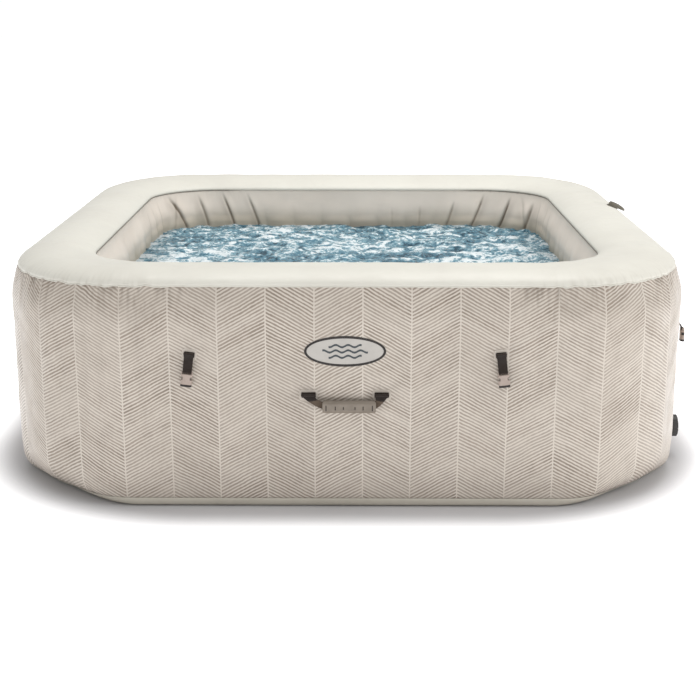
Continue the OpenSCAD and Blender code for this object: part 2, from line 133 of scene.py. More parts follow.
def area_light(name, place, target, size, power, colour):
    data = bpy.data.lights.new(name, "AREA")
    data.shape, data.size, data.energy, data.color = "SQUARE", size, power, colour
    lamp = put(bpy.data.objects.new(name, data))
    lamp.location = place
    lamp.rotation_euler = (Vector(place) - Vector(target)).to_track_quat("Z", "Y").to_euler()


make_camera()


# ---------------------------------------------------------------- materials

def linear(*screen):
    """The linear colour, with full cover, of a screen colour given from 0 to 255."""
    return (*((c / 255 / 12.92) if c < 11 else ((c / 255 + 0.055) / 1.055) ** 2.4 for c in screen), 1.0)


class Value:
    """A node's output, written in sums and products as a number is."""

    def __init__(self, finish, socket):
        self.finish, self.socket = finish, socket

    def __add__(self, other):
        return self.finish.math("ADD", self, other)

    def __sub__(self, other):
        return self.finish.math("SUBTRACT", self, other)

    def __rsub__(self, other):
        return self.finish.math("SUBTRACT", other, self)

    def __mul__(self, other):
        return self.finish.math("MULTIPLY", self, other)

    def __truediv__(self, other):
        return self.finish.math("DIVIDE", self, other)

    __radd__, __rmul__ = __add__, __mul__


class Finish:
    """A material and short ways to add nodes to it."""

    def __init__(self, name, **sockets):
        self.material = bpy.data.materials.new(name)
        self.material.use_nodes = True
        self.tree = self.material.node_tree
        self.bsdf = self.tree.nodes["Principled BSDF"]
        for socket, value in sockets.items():
            self.bsdf.inputs[socket.replace("_", " ")].default_value = value
        self.coords = Value(self, self.tree.nodes.new("ShaderNodeTexCoord").outputs["Object"])

    def link(self, value, socket):
        """Joins an output to a socket, or sets the socket to a number or a screen colour."""
        if isinstance(value, Value):
            self.tree.links.new(value.socket, socket)
        else:
            socket.default_value = linear(*value) if isinstance(value, tuple) else value

    def node(self, kind, inputs, output=0, **settings):
        """One output of a new node. inputs is what its sockets take, by name or number."""
        made = self.tree.nodes.new(kind)
        for key, value in settings.items():
            setattr(made, key, value)
        for key, value in inputs.items() if isinstance(inputs, dict) else enumerate(inputs):
            self.link(value, made.inputs[key])
        return Value(self, made.outputs[output])

    def math(self, operation, *values):
        return self.node("ShaderNodeMath", values, operation=operation)

    def step(self, value, low, high, to_low=0.0, to_high=1.0):
        """value from low to high, smoothly changed to a number from to_low to to_high."""
        inputs = (value, low, high, to_low, to_high)
        return self.node("ShaderNodeMapRange", inputs, interpolation_type="SMOOTHSTEP")

    def join(self, x, y, z=0.0):
        return self.node("ShaderNodeCombineXYZ", (x, y, z))

    def split(self, vector):
        made = self.node("ShaderNodeSeparateXYZ", (vector,)).socket.node
        return [Value(self, socket) for socket in made.outputs]

    def uv(self):
        """The cut map, in metres."""
        return self.split(self.node("ShaderNodeUVMap", (), uv_map="Cut"))[:2]

    def tone(self):
        """How much painted shade the mesh gives a point, from 0 to 1: in creases, at seam edges, in hollows
        and on shaded webbing. On the water it is the height of the waves instead.
        """
        return self.split(self.node("ShaderNodeUVMap", (), uv_map="Tone"))[0]

    def noise(self, scale, detail=3.0, rough=0.55, twist=0.0, vector=None):
        inputs = {"Vector": vector or self.coords, "Scale": scale, "Detail": detail, "Roughness": rough,
                  "Distortion": twist}
        return self.node("ShaderNodeTexNoise", inputs)

    def patches(self, scale, detail, low, high, to_low=0.0, to_high=1.0):
        """Uneven patches: to_low where the noise is under low, and to_high where it is over high."""
        return self.step(self.noise(scale, detail), low, high, to_low, to_high)

    def chance(self, x, y=0.0):
        inputs = (self.join(x, y),)
        return self.node("ShaderNodeTexWhiteNoise", inputs, "Value", noise_dimensions="2D")

    def mix(self, share, first, second):
        return self.node("ShaderNodeMix", {0: share, 6: first, 7: second}, 2, data_type="RGBA")

    def colour(self, value):
        self.link(value, self.bsdf.inputs["Base Color"])

    def roughness(self, value):
        self.link(value, self.bsdf.inputs["Roughness"])

    def gloss(self, scale, low, high, detail=4.0):
        """Gloss that wanders: the roughness goes from low to high in patches."""
        self.roughness(self.patches(scale, detail, 0.3, 0.7, low, high))

    def bump(self, *layers):
        """Each layer is a height from 0 to 1 and how high 1 is, in metres."""
        below = {}
        for height, size in layers:
            below = {"Normal": self.node("ShaderNodeBump", {"Height": height, "Distance": size, **below})}
        self.link(below["Normal"], self.bsdf.inputs["Normal"])


# Noise scale of the vinyl's fine grain, and the webbing's thread as an angle per metre
GRAIN = 1400.0
THREAD = 2 * math.pi / 0.0016
# The print: width of a column, where one starts, how steep its strokes are, and how far apart
COLUMN_W, COLUMN_START, STROKE_SLOPE, STROKE_PITCH = 0.1408, 0.0513, 0.55, 0.0104


def laminate(name, colour, darker, roughness, crease_shade=None):
    """Plain vinyl laminate: broad tone changes, a fine grain, and painted shade in creases and seam edges
    where the mesh marks them.
    """
    finish = Finish(name, Roughness=roughness, Specular_IOR_Level=0.4)
    share = 0.6 * finish.patches(3.2, 4.0, 0.35, 0.68) + 0.2 * finish.patches(46.0, 3.0, 0.45, 0.75)
    shade = finish.mix(share, colour, darker)
    # painted shade: the last colour darkens the creases and seam edges by the mesh's tone
    if crease_shade:
        shade = finish.mix(0.9 * finish.tone(), shade, crease_shade)
    finish.colour(shade)
    finish.gloss(17.0, roughness - 0.07, roughness + 0.09)
    finish.bump((finish.noise(9.0, 4.0), 0.0006), (finish.noise(GRAIN, 2.0), 0.00012))
    return finish


def pool_vinyl():
    """The pool's laminate: pinkish grey, yellower and darker towards the water, darkest in the creases. The
    darkening low down and in the creases is painted shade.
    """
    finish = Finish("pool vinyl", Roughness=0.42, Specular_IOR_Level=0.4)
    height = finish.split(finish.coords)[2]
    blotch = finish.patches(4.0, 4.0, 0.35, 0.68)
    above = finish.mix(blotch, (240, 229, 217), (231, 220, 208))
    below = finish.mix(blotch, (190, 181, 165), (179, 170, 154))
    # painted shade: the wall darkens towards the water, deep in the pool
    deep_shade = finish.step(0.05 * finish.noise(6.0, 2.0) + height, WATER_Z + 0.115, WATER_Z + 0.03)
    # painted shade in the creases and along the seam under the rim, by the mesh's tone
    finish.colour(finish.mix(finish.tone(), finish.mix(deep_shade, above, below), (118, 105, 90)))
    finish.gloss(17.0, 0.36, 0.52)
    finish.bump((finish.noise(9.0, 4.0), 0.0008), (finish.noise(GRAIN, 2.0), 0.0001))
    return finish


def herringbone():
    """Hand-drawn slanted strokes in columns that lean alternately left and right."""
    finish = Finish("printed vinyl", Roughness=0.42, Specular_IOR_Level=0.4)
    s, z = finish.uv()
    place = finish.join(s, z)
    drift = finish.noise(7.0, 2.0, vector=place)
    shake = finish.noise(70.0, 2.0, vector=finish.join(s, 2.2 * z))
    drawn = z + 0.012 * drift + 0.0030 * shake
    column = (s - COLUMN_START) / COLUMN_W
    number = finish.math("FLOOR", column)
    inside = finish.math("FRACT", column)
    rise = (1.0 - finish.math("PINGPONG", column, 1.0)) * (-STROKE_SLOPE * COLUMN_W)
    row = (drawn + rise) / STROKE_PITCH + finish.chance(number)
    stroke = finish.math("FLOOR", row)
    across = finish.math("ABSOLUTE", finish.math("FRACT", row) - 0.5)
    along = finish.noise(26.0, 2.0, vector=finish.join(s, 0.37 * stroke))
    width = 0.150 + 0.13 * along + 0.07 * finish.chance(number, stroke)
    ink = finish.step(across - width, 0.10, -0.08)
    band = finish.noise(1.0, 2.0, vector=finish.join(3.1 * number, 0.16 * row))
    strength = finish.step(band, 0.34, 0.66, 0.70, 1.0)
    patchy = finish.step(finish.noise(5.0, 3.0, vector=place), 0.3, 0.7, 0.84, 1.0)
    edge = finish.math("MINIMUM", inside, 1.0 - inside)
    wander = 0.010 * finish.noise(60.0, 2.0, vector=place) - 0.005
    in_column = finish.step(edge + wander, 0.008, 0.020)
    amount = ink * strength * in_column * patchy
    paper = finish.mix(finish.patches(4.0, 3.0, 0.3, 0.7), (214, 205, 194), (204, 195, 184))
    pen = finish.mix(finish.patches(24.0, 2.0, 0.3, 0.7), (133, 120, 107), (151, 138, 125))
    printed = finish.mix(amount, paper, pen)
    # painted shade: the wall's creases, gathers, puckers and seam edges are darkened by the mesh's tone
    finish.colour(finish.mix(0.75 * finish.tone(), printed, (126, 114, 102)))
    finish.gloss(15.0, 0.28, 0.46)
    finish.bump((finish.noise(11.0, 3.0), 0.0020), (finish.noise(38.0, 5.0, 0.6, 0.6), 0.0008),
                (1.0 - amount, 0.00006), (finish.noise(GRAIN, 2.0), 0.0001))
    return finish


def woven(name, colour, light, end):
    """Webbing with a close twill, worn paler in places. The mesh says where it takes the colour end, which is
    painted shade on doubled ends, loops, folds and tabs.
    """
    finish = Finish(name, Roughness=0.72, Sheen_Weight=0.2, Sheen_Roughness=0.5, Specular_IOR_Level=0.3)
    u, v = finish.uv()
    warp = finish.math("SINE", u * THREAD)
    weft = finish.math("SINE", (v + 0.6 * u) * THREAD)
    weave = 0.5 * (warp * weft) + 0.5
    shade = finish.mix(0.4 * weave, colour, light)
    shade = finish.mix(0.35 * finish.patches(90.0, 4.0, 0.42, 0.72), shade, light)
    finish.colour(finish.mix(finish.tone(), shade, end))
    finish.gloss(60.0, 0.62, 0.82, 3.0)
    finish.bump((weave, 0.00025), (finish.noise(120.0, 3.0), 0.0004))
    return finish


def plastic(name, colour, darker, roughness, grain=0.00006, hollow_shade=None):
    """Moulded plastic: slightly uneven tone, a spark-eroded grain and duller high spots.

    Where the mesh says so, it takes the darker colour given: painted shade inside an opening and on its lip.
    """
    finish = Finish(name, Roughness=roughness)
    share = 0.5 * finish.patches(28.0, 4.0, 0.35, 0.7) + 0.2 * finish.patches(160.0, 3.0, 0.55, 0.8)
    shade = finish.mix(share, colour, darker)
    if hollow_shade:
        shade = finish.mix(finish.tone(), shade, hollow_shade)
    finish.colour(shade)
    finish.gloss(70.0, roughness - 0.08, roughness + 0.1)
    finish.bump((finish.noise(900.0, 2.0), grain), (finish.noise(35.0, 2.0), 0.0002))
    return finish


def stirred_water():
    """Bubbling water: teal troughs, pale crests and broken foam, in shade close to the pool wall."""
    finish = Finish("stirred water", Roughness=0.1, IOR=1.33, Specular_IOR_Level=0.6)
    x, y, z = finish.split(finish.coords)
    place = finish.join(x, y, 0.3 * z)
    swirl = finish.noise(3.4, 3.0, 0.5, 0.6, place)
    chop = finish.noise(13.0, 4.0, 0.6, 1.6, place)
    lace = finish.noise(36.0, 4.0, 0.58, 1.4, place)
    mixed = 0.46 * chop + 0.36 * lace + 0.22 * swirl + 0.14 * finish.tone()
    deep = finish.mix(finish.step(mixed, 0.50, 0.57), (34, 74, 92), (88, 134, 154))
    body = finish.mix(finish.step(mixed, 0.57, 0.63), deep, (144, 184, 198))
    foam = finish.step(mixed, 0.61, 0.68)
    reach = finish.math("MAXIMUM", finish.math("ABSOLUTE", x), finish.math("ABSOLUTE", y))
    shaded = finish.step(reach, POOL_HALF - 0.16, POOL_HALF - 0.01, 0.0, 0.42)
    finish.colour(finish.mix(shaded, finish.mix(foam, body, (240, 248, 251)), (34, 66, 78)))
    finish.roughness(finish.step(foam, 0.0, 1.0, 0.06, 0.5))
    finish.bump((finish.noise(34.0, 5.0, 0.6, 1.0, place), 0.016), (finish.noise(120.0, 3.0), 0.003))
    return finish


PRINT = herringbone()
# the rim's last colour is painted shade for its creases and seam edges
CREAM = laminate("rim vinyl", (225, 223, 213), (217, 214, 204), 0.42, (176, 170, 156))
STRIP = laminate("base vinyl", (205, 199, 186), (190, 184, 170), 0.5)
POOL = pool_vinyl()
# the pool's seam bead is drawn darker than the vinyl either side, and darker still by its tone: painted shade
# in the seam's gap
SEAM = laminate("seam vinyl", (204, 196, 186), (188, 180, 170), 0.5, (112, 104, 94))
PATCH = laminate("patch vinyl", (204, 195, 184), (188, 179, 167), 0.42)
SCRIM = laminate("web fabric", (232, 231, 228), (214, 213, 208), 0.7)
# the last colour of each webbing is painted shade for doubled ends, loops, folds and tabs
WEBBING = woven("webbing", (60, 46, 38), (98, 80, 68), (30, 22, 18))
TAN_WEBBING = woven("handle webbing", (82, 68, 56), (112, 98, 84), (34, 25, 20))
# dark blocks in the grip's grooves: painted shade
GROOVE_SHADE = plastic("groove shade", (46, 36, 30), (34, 27, 23), 0.6)
# the buckle's last colour is painted shade in its mouth, on its lip and round its windows
BUCKLE = plastic("buckle plastic", (176, 160, 150), (152, 136, 126), 0.35, hollow_shade=(30, 22, 19))
GRIP_PLASTIC = plastic("grip plastic", (134, 124, 112), (112, 102, 90), 0.42)
HOOD = plastic("hood plastic", (112, 107, 96), (92, 87, 77), 0.42)
FITTING = plastic("fitting plastic", (66, 65, 64), (50, 49, 48), 0.45)
VALVE = plastic("valve plastic", (228, 224, 214), (210, 206, 196), 0.4)
RUBBER = plastic("gasket rubber", (38, 37, 36), (28, 27, 26), 0.75)
BORDER = plastic("badge border", (34, 27, 23), (26, 21, 18), 0.4, grain=0.00003)
FACE = plastic("badge face", (192, 188, 182), (180, 176, 170), 0.4, grain=0.00003)
WAVES = plastic("badge print", (62, 70, 74), (50, 58, 62), 0.4, grain=0.00003)
WATER = stirred_water()


# ---------------------------------------------------------------- mesh helpers

def mesh_piece(name, points, faces, finish, body, slot=None, nodes=(), cut=None, tone=None, flat=False):
    """A piece from points and faces. cut gives a map coordinate for each corner of each face.
    tone gives each point's shade, from 0 to 1."""
    data = bpy.data.meshes.new(name)
    data.from_pydata([tuple(p) for p in points], [], [tuple(f) for f in faces])
    if cut is not None:
        layer = data.uv_layers.new(name="Cut")
        layer.data.foreach_set("uv", np.asarray(cut, np.float32).ravel())
    if tone is not None:
        corners = np.concatenate([np.asarray(f, int) for f in faces])
        shade = np.clip(np.asarray(tone, np.float32), 0, 1)[corners]
        layer = data.uv_layers.new(name="Tone")
        layer.data.foreach_set("uv", np.stack([shade, shade], -1).ravel())
    if not flat:
        data.polygons.foreach_set("use_smooth", [True] * len(data.polygons))
    data.materials.append(finish.material)
    data.update()
    piece = put(bpy.data.objects.new(name, data))
    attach(piece, body)
    if nodes:
        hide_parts(*nodes)
    return piece


def loft(rings):
    """Points and faces of a skin over rings of equally many points, closed at both ends."""
    n, last = len(rings[0]), len(rings) - 1
    points = [p for ring in rings for p in ring]
    faces = [(i * n + j, i * n + (j + 1) % n, (i + 1) * n + (j + 1) % n, (i + 1) * n + j)
             for i in range(last) for j in range(n)]
    return points, [*faces, tuple(range(n - 1, -1, -1)), tuple(range(last * n, last * n + n))]


def join(parts):
    """The points and faces of several parts as one."""
    points, faces = [], []
    for more, those in parts:
        faces += [tuple(v + len(points) for v in f) for f in those]
        points += more
    return points, faces


def grid_faces(rows, columns):
    """The faces of a grid with that many cells each way."""
    n = columns + 1
    return [(a, a + 1, a + n + 1, a + n) for i in range(rows) for a in range(i * n, i * n + columns)]


def smooth(x):
    x = np.clip(x, 0, 1)
    return x * x * (3 - 2 * x)


def fade(away, width):
    """1 where away is 0, falling smoothly to 0 at that width."""
    return smooth(1 - away / width)


def bell(x, width):
    return np.exp(-(x / width) ** 2)


def squared(x, power):
    """A sine or cosine that makes a circle squarer, the more so the smaller the power."""
    return math.copysign(abs(x) ** power, x)


def field(s, z, shortest, longest, count, seed, tilt=1.0):
    """A smooth random surface between about -1 and 1, which closes on itself round the tub."""
    rng = np.random.default_rng(seed)
    total = np.zeros(np.broadcast(s, z).shape)
    for _ in range(count):
        length = math.exp(rng.uniform(math.log(shortest), math.log(longest)))
        turns = round(PERIMETER / length) / PERIMETER * s + rng.normal(0, tilt) * z / length
        total += np.cos(2 * math.pi * turns + rng.uniform(0, 2 * math.pi))
    return total / math.sqrt(count / 2) / 1.6


def line_crease(s, z, s0, z0, s1, z1, width):
    """1 on the line between two points, falling off across it and towards its ends."""
    ds, dz = s1 - s0, z1 - z0
    length = ds * ds + dz * dz
    t = ((s - s0) * ds + (z - z0) * dz) / length
    across = ((s - s0) * dz - (z - z0) * ds) / math.sqrt(length)
    return bell(across, width) * smooth(t / 0.3 + 0.2) * smooth((1 - t) / 0.3 + 0.2)


def around(a, b):
    """The signed way from b to a round the tub."""
    return (a - b + PERIMETER / 2) % PERIMETER - PERIMETER / 2


def off_opening(x, y, z, middle_y, middle_z):
    """How far points on the right lie from the middle of an opening there. Points on the left are far off."""
    return np.hypot(y - middle_y, z - middle_z) + np.where(x > 0, 0, FAR)


def spaced(ends, cells):
    """Rising heights, with so many cells between each two of the ends."""
    stretches = [np.linspace(low, high, n, endpoint=False) for low, high, n in zip(ends, ends[1:], cells)]
    return np.append(np.concatenate(stretches), ends[-1])


def circle(steps):
    return np.linspace(0, 2 * math.pi, steps, endpoint=False)


def shifted(x, y, z):
    return Matrix.Translation((x, y, z))


def turned(angle, axis="Z"):
    return Matrix.Rotation(angle, 4, axis)


class Ring:
    """Columns round a square with round corners, from the middle of the back past the left and the front."""

    def __init__(self, straight, arc):
        columns, at = [], -PERIMETER / 2
        for q, first, last in ((2, 0, 1), (3, -1, 1), (0, -1, 1), (1, -1, 1), (2, -1, 0)):
            span = last - first
            for share in np.arange(straight * span // 2) / (straight * span // 2) * span:
                columns.append((q, first + share, 0.0, at + FLAT * share))
            at += FLAT * span
            if last > 0:
                columns += [(q, 1.0, math.pi / 2 * k / arc, at + BEND * k / arc) for k in range(arc)]
                at += BEND
        self.side, self.share, self.angle, self.s = np.array(columns).T
        self.count = len(columns)
        cos, sin = np.cos(self.side * math.pi / 2), np.sin(self.side * math.pi / 2)
        along, ahead = np.stack([cos, sin], -1), np.stack([sin, -cos], -1)
        self.square = self.share[:, None] * along + ahead
        self.out = np.sin(self.angle)[:, None] * along + np.cos(self.angle)[:, None] * ahead

    def at(self, half, radius):
        """Where the columns stand in plan, for that half width and corner radius."""
        return (half - radius) * self.square + radius * self.out

    def row(self, half, radius, z, out_by=0.0):
        """A row of points there, so high, and moved outwards by so much."""
        xy = self.at(half, radius) + self.out * np.reshape(out_by, (-1, 1))
        return np.column_stack([xy, np.broadcast_to(z, self.count)])

    def corner(self, reach):
        """1 in the corners, falling to 0 that far along the straight sides."""
        return fade(np.where(self.angle > 0, 0.0, FLAT - np.abs(self.share) * FLAT), reach)

    def into_corner(self):
        """0 on the straight sides, rising to 1 in the middle of each corner."""
        past = np.where(self.angle > 0, np.minimum(self.angle, math.pi / 2 - self.angle) * CORNER_R,
                        np.abs(self.share) * FLAT - FLAT)
        return smooth((past + 0.01) / 0.29)


# The columns of the outer wall, the rim and what joins them
WALL_RING = Ring(208, 112)


def ring_piece(name, ring, rows, finish, slot, nodes=(), flip=False, heights=None, tone=0.0, holes=()):
    """A skin over rows of points. The cut map is the way round and the way up, in metres.

    Each hole is y, z and radius of an opening in the wall on the right, or in the pool wall behind it.
    """
    rows = np.array(rows)
    count, n = rows.shape[:2]
    i, j = (grid.ravel() for grid in np.meshgrid(np.arange(count - 1), np.arange(n), indexing="ij"))
    corners = [(i, j), (i, j + 1), (i + 1, j + 1), (i + 1, j)]
    if flip:
        corners.reverse()
    faces = np.stack([a * n + b % n for a, b in corners], -1)
    keep = np.ones(len(faces), bool)
    points = rows.reshape(-1, 3)
    for y, z, radius in holes:
        away = off_opening(*points.T, y, z)
        gone = (away[faces] < radius).any(axis=1)
        edge = np.intersect1d(faces[gone], faces[keep & ~gone])
        stretch = (radius / away[edge])[:, None]
        points[edge, 1:] = (y, z) + (points[edge, 1:] - (y, z)) * stretch
        keep &= ~gone
    s = np.append(ring.s, PERIMETER / 2)
    if heights is None:
        heights = np.concatenate([[0], np.cumsum(np.linalg.norm(np.diff(rows[:, 0], axis=0), axis=1))])
    cut = np.stack([np.stack([s[b], heights[a]], -1) for a, b in corners], 1)
    shade = np.broadcast_to(tone, (count, n)).ravel()
    return mesh_piece(name, points, faces[keep], finish, "tub", slot, nodes, cut[keep], shade)


# ---------------------------------------------------------------- the shell's shapes

def web_lines():
    """Where the tension webs meet the outer wall, round the tub from the middle of the back."""
    lines = []
    for q in range(-2, 3):
        # on the right they straddle the middle
        first = -3.5 if q == 1 else -3.0
        lines += [q * QUARTER + (first + i) * WEB_PITCH for i in range(7)]
        lines += [q * QUARTER + FLAT + BEND * share for share in (1 / 3, 2 / 3)]
    return np.unique(np.round([x for x in lines if abs(x) <= PERIMETER / 2 + 1e-6], 5))


def bulge(s):
    """0 on the web lines and up to 1 halfway between them."""
    lines = web_lines()
    k = np.clip(np.searchsorted(lines, s, side="right") - 1, 0, len(lines) - 2)
    span = lines[k + 1] - lines[k]
    t = (s - lines[k]) / span
    return 4 * t * (1 - t) * np.clip(span / WEB_PITCH, 0.6, 1.6)


def anchor_points():
    """Where straps and handles are fixed to the wall: the way round, the height and how far puckers reach."""
    points = []
    for i, q in enumerate((0, 1, 2, -1)):
        points += [(q * QUARTER + hand * STRAP_X[i], STRAP_Z - TAB_DROP, 0.040) for hand in (-1, 1)]
        if i in HANDLE_SIDES:
            points += [(q * QUARTER + hand * HANDLE_X, HANDLE_Z - TAB_DROP, 0.048) for hand in (-1, 1)]
    return points


def seam_wave(ring):
    """How far the seam under the rim wanders up and down."""
    return (0.0005 + 0.0017 * ring.corner(0.30)) * field(ring.s, np.zeros(1), 0.035, 0.14, 14, 61)


def base_radius(ring):
    """How round the lower edge is: little on the straight sides and much in the corners."""
    return SKIRT_R + (BASE_R - SKIRT_R) * ring.into_corner()


def base_inset(z, radius):
    """How far in the wall lies at height z over a round lower edge."""
    rise = np.maximum(radius - z, 0)
    return radius - np.sqrt(np.maximum(radius ** 2 - rise ** 2, 0))


def wall_inset(ring, z):
    """How far in the outer wall's foot lies at height z. It stays flat under the drain's flange."""
    away = off_opening(*ring.at(HALF, CORNER_R).T, z, DRAIN_Y, DRAIN_Z)
    return base_inset(z, base_radius(ring)) * smooth((away - 0.045) / 0.075)


def wall_lean(z):
    """How far in the upper wall leans at height z."""
    return SEAM_IN * (max(z - LEAN_Z, 0.0) / (SEAM_Z - LEAN_Z)) ** 2


def spread(ring):
    """How far the rim's inner seam lies out from the pool wall's foot: more on the left and right sides."""
    return 0.004 + 0.016 * ring.out[:, 0] ** 2


def seam_shade(ring):
    """How dark the rim's inner seam is drawn, as painted shade in its gap: fainter along the front and the
    back.
    """
    return 1 - 0.85 * ring.out[:, 1] ** 2 * (1 - ring.corner(0.10))


def pool_radius(z):
    share = np.clip((z - SHOULDER_Z) / (POOL_SEAM_Z - SHOULDER_Z), 0, 1)
    return POOL_R + (POOL_RIM_R - POOL_R) * share


# ---------------------------------------------------------------- the outer wall

def corner_folds(s, z):
    """Long soft folds that run down the corners between the webs: how far in they go, and their shade."""
    rng = np.random.default_rng(21)
    depth = shade = 0.0
    for q in range(4):
        for place in (-0.12, 0.0, 0.10, 0.22, 0.45, 0.55, 0.80, 0.90, 1.02):
            s0 = FLAT + q * QUARTER + place * BEND + rng.uniform(-0.02, 0.02)
            top, foot = rng.uniform(0.54, 0.655), rng.uniform(0.08, 0.40)
            width = rng.uniform(0.008, 0.016)
            fold = line_crease(around(s, s0), z, 0, top, rng.uniform(-0.03, 0.03), foot, width)
            depth = depth + rng.uniform(0.0010, 0.0020) * fold
            shade = shade + 0.10 * fold
    return depth, shade


def puckers(s, z):
    """Rays that spread from each anchor: how far they stand out, and their shade."""
    rise = shade = 0.0
    for s0, z0, reach in anchor_points():
        ds, dz = around(s, s0), z - z0
        away, angle = np.hypot(ds, dz), np.arctan2(dz, ds)
        rays = np.cos(11 * angle + 3 * np.sin(3 * angle + s0))
        near = bell(away, reach) * smooth(away / 0.012)
        rise = rise + 0.0013 * rays * near - 0.0010 * bell(away, 0.05)
        shade = shade + 0.35 * near * smooth(-rays)
    return rise, shade


def clear_of_straps(s, z):
    """0 where the wall keeps back, and 1 elsewhere.

    It keeps back behind the patches, and behind the hanging straps, so that their buckles clear it.
    """
    clear = 1.0
    for s0, z0, _ in anchor_points():
        ds = np.abs(around(s, s0))
        room = smooth((0.048 - ds) / 0.012) * smooth((0.038 - np.abs(z - z0)) / 0.010)
        if z0 > HANDLE_Z:
            below = smooth((z0 + 0.02 - z) / 0.02) * smooth((z - z0 + 0.165) / 0.04)
            room = np.maximum(room, smooth((0.062 - ds) / 0.030) * below)
        clear = clear * (1 - room)
    return clear


def outer_wall():
    ring = WALL_RING
    s, heights = ring.s, spaced((SKIRT_Z, 0.16, 0.56, SEAM_Z - SEAM_EDGE, SEAM_Z), (23, 39, 23, 3))
    z = heights[:, None]
    corner, turn = ring.corner(0.34), ring.into_corner()
    # bulges between the webs, and slow waves
    free = smooth((z - SKIRT_Z) / 0.09) * smooth((SEAM_Z - z) / 0.10)
    push = 0.0022 * bulge(s) * free
    push = push + 0.0012 * free * (1 + field(s, z, 0.12, 0.5, 14, 3, 0.6)) * (0.5 + 0.5 * corner)
    # gathers hang from the seam and are deepest round the corners
    hang = np.exp(-(SEAM_Z - z) / (0.022 + 0.034 * corner)) * smooth((z - 0.545) / 0.03)
    patchy = 0.25 + 0.75 * smooth(0.5 + 1.2 * field(s, z, 0.15, 0.5, 12, 9, 0.2))
    gather = patchy * hang * bell(field(s, z, 0.022, 0.06, 16, 5, 0.12), 0.30)
    push = push - (0.0008 + 0.0038 * corner) * gather
    push = push + 0.0012 * corner * hang * field(s, z, 0.02, 0.07, 14, 6, 0.25)
    # shorter gathers stand on the base seam
    stand = np.exp(-(z - SKIRT_Z) / 0.026) * bell(field(s, z, 0.016, 0.05, 16, 8, 0.1), 0.3)
    push = push - 0.0028 * stand * (0.12 + 0.88 * turn)
    # tone is painted shade: darker in the gathers, along the folds and puckers, and where the skin tucks into
    # its seams
    tone = (0.10 + 0.75 * corner) * gather + 0.95 * stand * (0.08 + 0.92 * turn)
    fold, fold_shade = corner_folds(s, z)
    pucker, pucker_shade = puckers(s, z)
    push = push - fold + pucker
    push = np.where(push > 0, push * clear_of_straps(s, z), push)
    # the wall lies flat behind the badge
    off_badge = np.hypot(s / 0.150, (z - (BADGE_LOW.z + BADGE_HIGH.z) / 2) / 0.075)
    push = push * smooth((off_badge - 0.88) / 0.35)
    # it tucks into its seams
    top, foot = fade(SEAM_Z - z, 0.005), fade(z - SKIRT_Z, SEAM_EDGE)
    push = push - 0.0016 * top - 0.0014 * foot
    # painted shade along the folds, puckers and both seam edges
    tone = tone + fold_shade + pucker_shade + 0.30 * top + 0.35 * foot
    wave = seam_wave(ring)
    rows = []
    for height, out_by in zip(heights, push):
        lean, lift = wall_lean(height), wave * fade(SEAM_Z - height, 0.03)
        rows.append(ring.row(HALF - lean, CORNER_R - lean, height + lift, out_by - wall_inset(ring, height)))
    return ring_piece("outer_wall_skin", ring, rows, PRINT, "printed_vinyl", ["outer_wall"],
                      heights=heights, tone=tone, holes=WALL_HOLES)


def back_weld():
    """The strip that closes the printed wall at the middle of the back."""
    width, rows, columns = 0.028, 60, 9
    points = []
    for z in np.linspace(SKIRT_Z + 0.002, SEAM_Z - 0.002, rows + 1):
        for share in np.linspace(-1, 1, columns + 1):
            proud = 0.0024 - 0.0016 * abs(share) ** 6 + 0.0002 * math.sin(z * 90)
            points.append((-share * width / 2, HALF - wall_lean(z) + proud, z))
    cut = [(0, 0), (1, 0), (1, 1), (0, 1)] * (rows * columns)
    return mesh_piece("back_weld", points, grid_faces(rows, columns), STRIP, "tub", "base_vinyl", cut=cut)


def skirt_skin():
    """The plain strip round the base: it follows the round lower edge down and a little way under."""
    ring, rows = WALL_RING, []
    ripple = 0.0005 * field(ring.s, np.zeros(1), 0.05, 0.2, 12, 41)
    for z in (SKIRT_Z, SKIRT_Z - 0.0015, 0.022, 0.016, 0.011, 0.007, 0.004, 0.002, 0.0008, 0.0002, 0.0):
        proud = 0.0010 * smooth((SKIRT_Z - z) / 0.003) - 0.0006 + ripple * (0.004 < z < SKIRT_Z - 0.002)
        rows.append(ring.row(HALF, CORNER_R, z, proud - wall_inset(ring, z)))
    for inner, z in ((0.030, 0.0), (0.036, 0.0024)):
        rows.append(ring.row(HALF, CORNER_R, z, -base_radius(ring) - inner))
    return ring_piece("base_skirt_skin", ring, rows, STRIP, "base_vinyl", ["base_skirt"], flip=True)


# ---------------------------------------------------------------- the rim and the welds on both its edges

def rim_section(steps):
    """The rim's section as distance in from the outer face, height, and the direction that it faces."""
    quarter = np.linspace(0, math.pi / 2, steps)
    points = []
    for hand, width, foot, turn in ((-1, CREST_IN - SEAM_IN, SEAM_Z, quarter),
                                    (1, WALL_T - CREST_IN, POOL_SEAM_Z, quarter[-2::-1])):
        for a in turn:
            cos, sin, rise = math.cos(a), math.sin(a), RIM_Z - foot
            points.append((CREST_IN + hand * width * cos, foot + rise * sin, -hand * cos / width, sin / rise))
    table = np.array(points)
    table[:, 2:] /= np.linalg.norm(table[:, 2:], axis=1)[:, None]
    return table


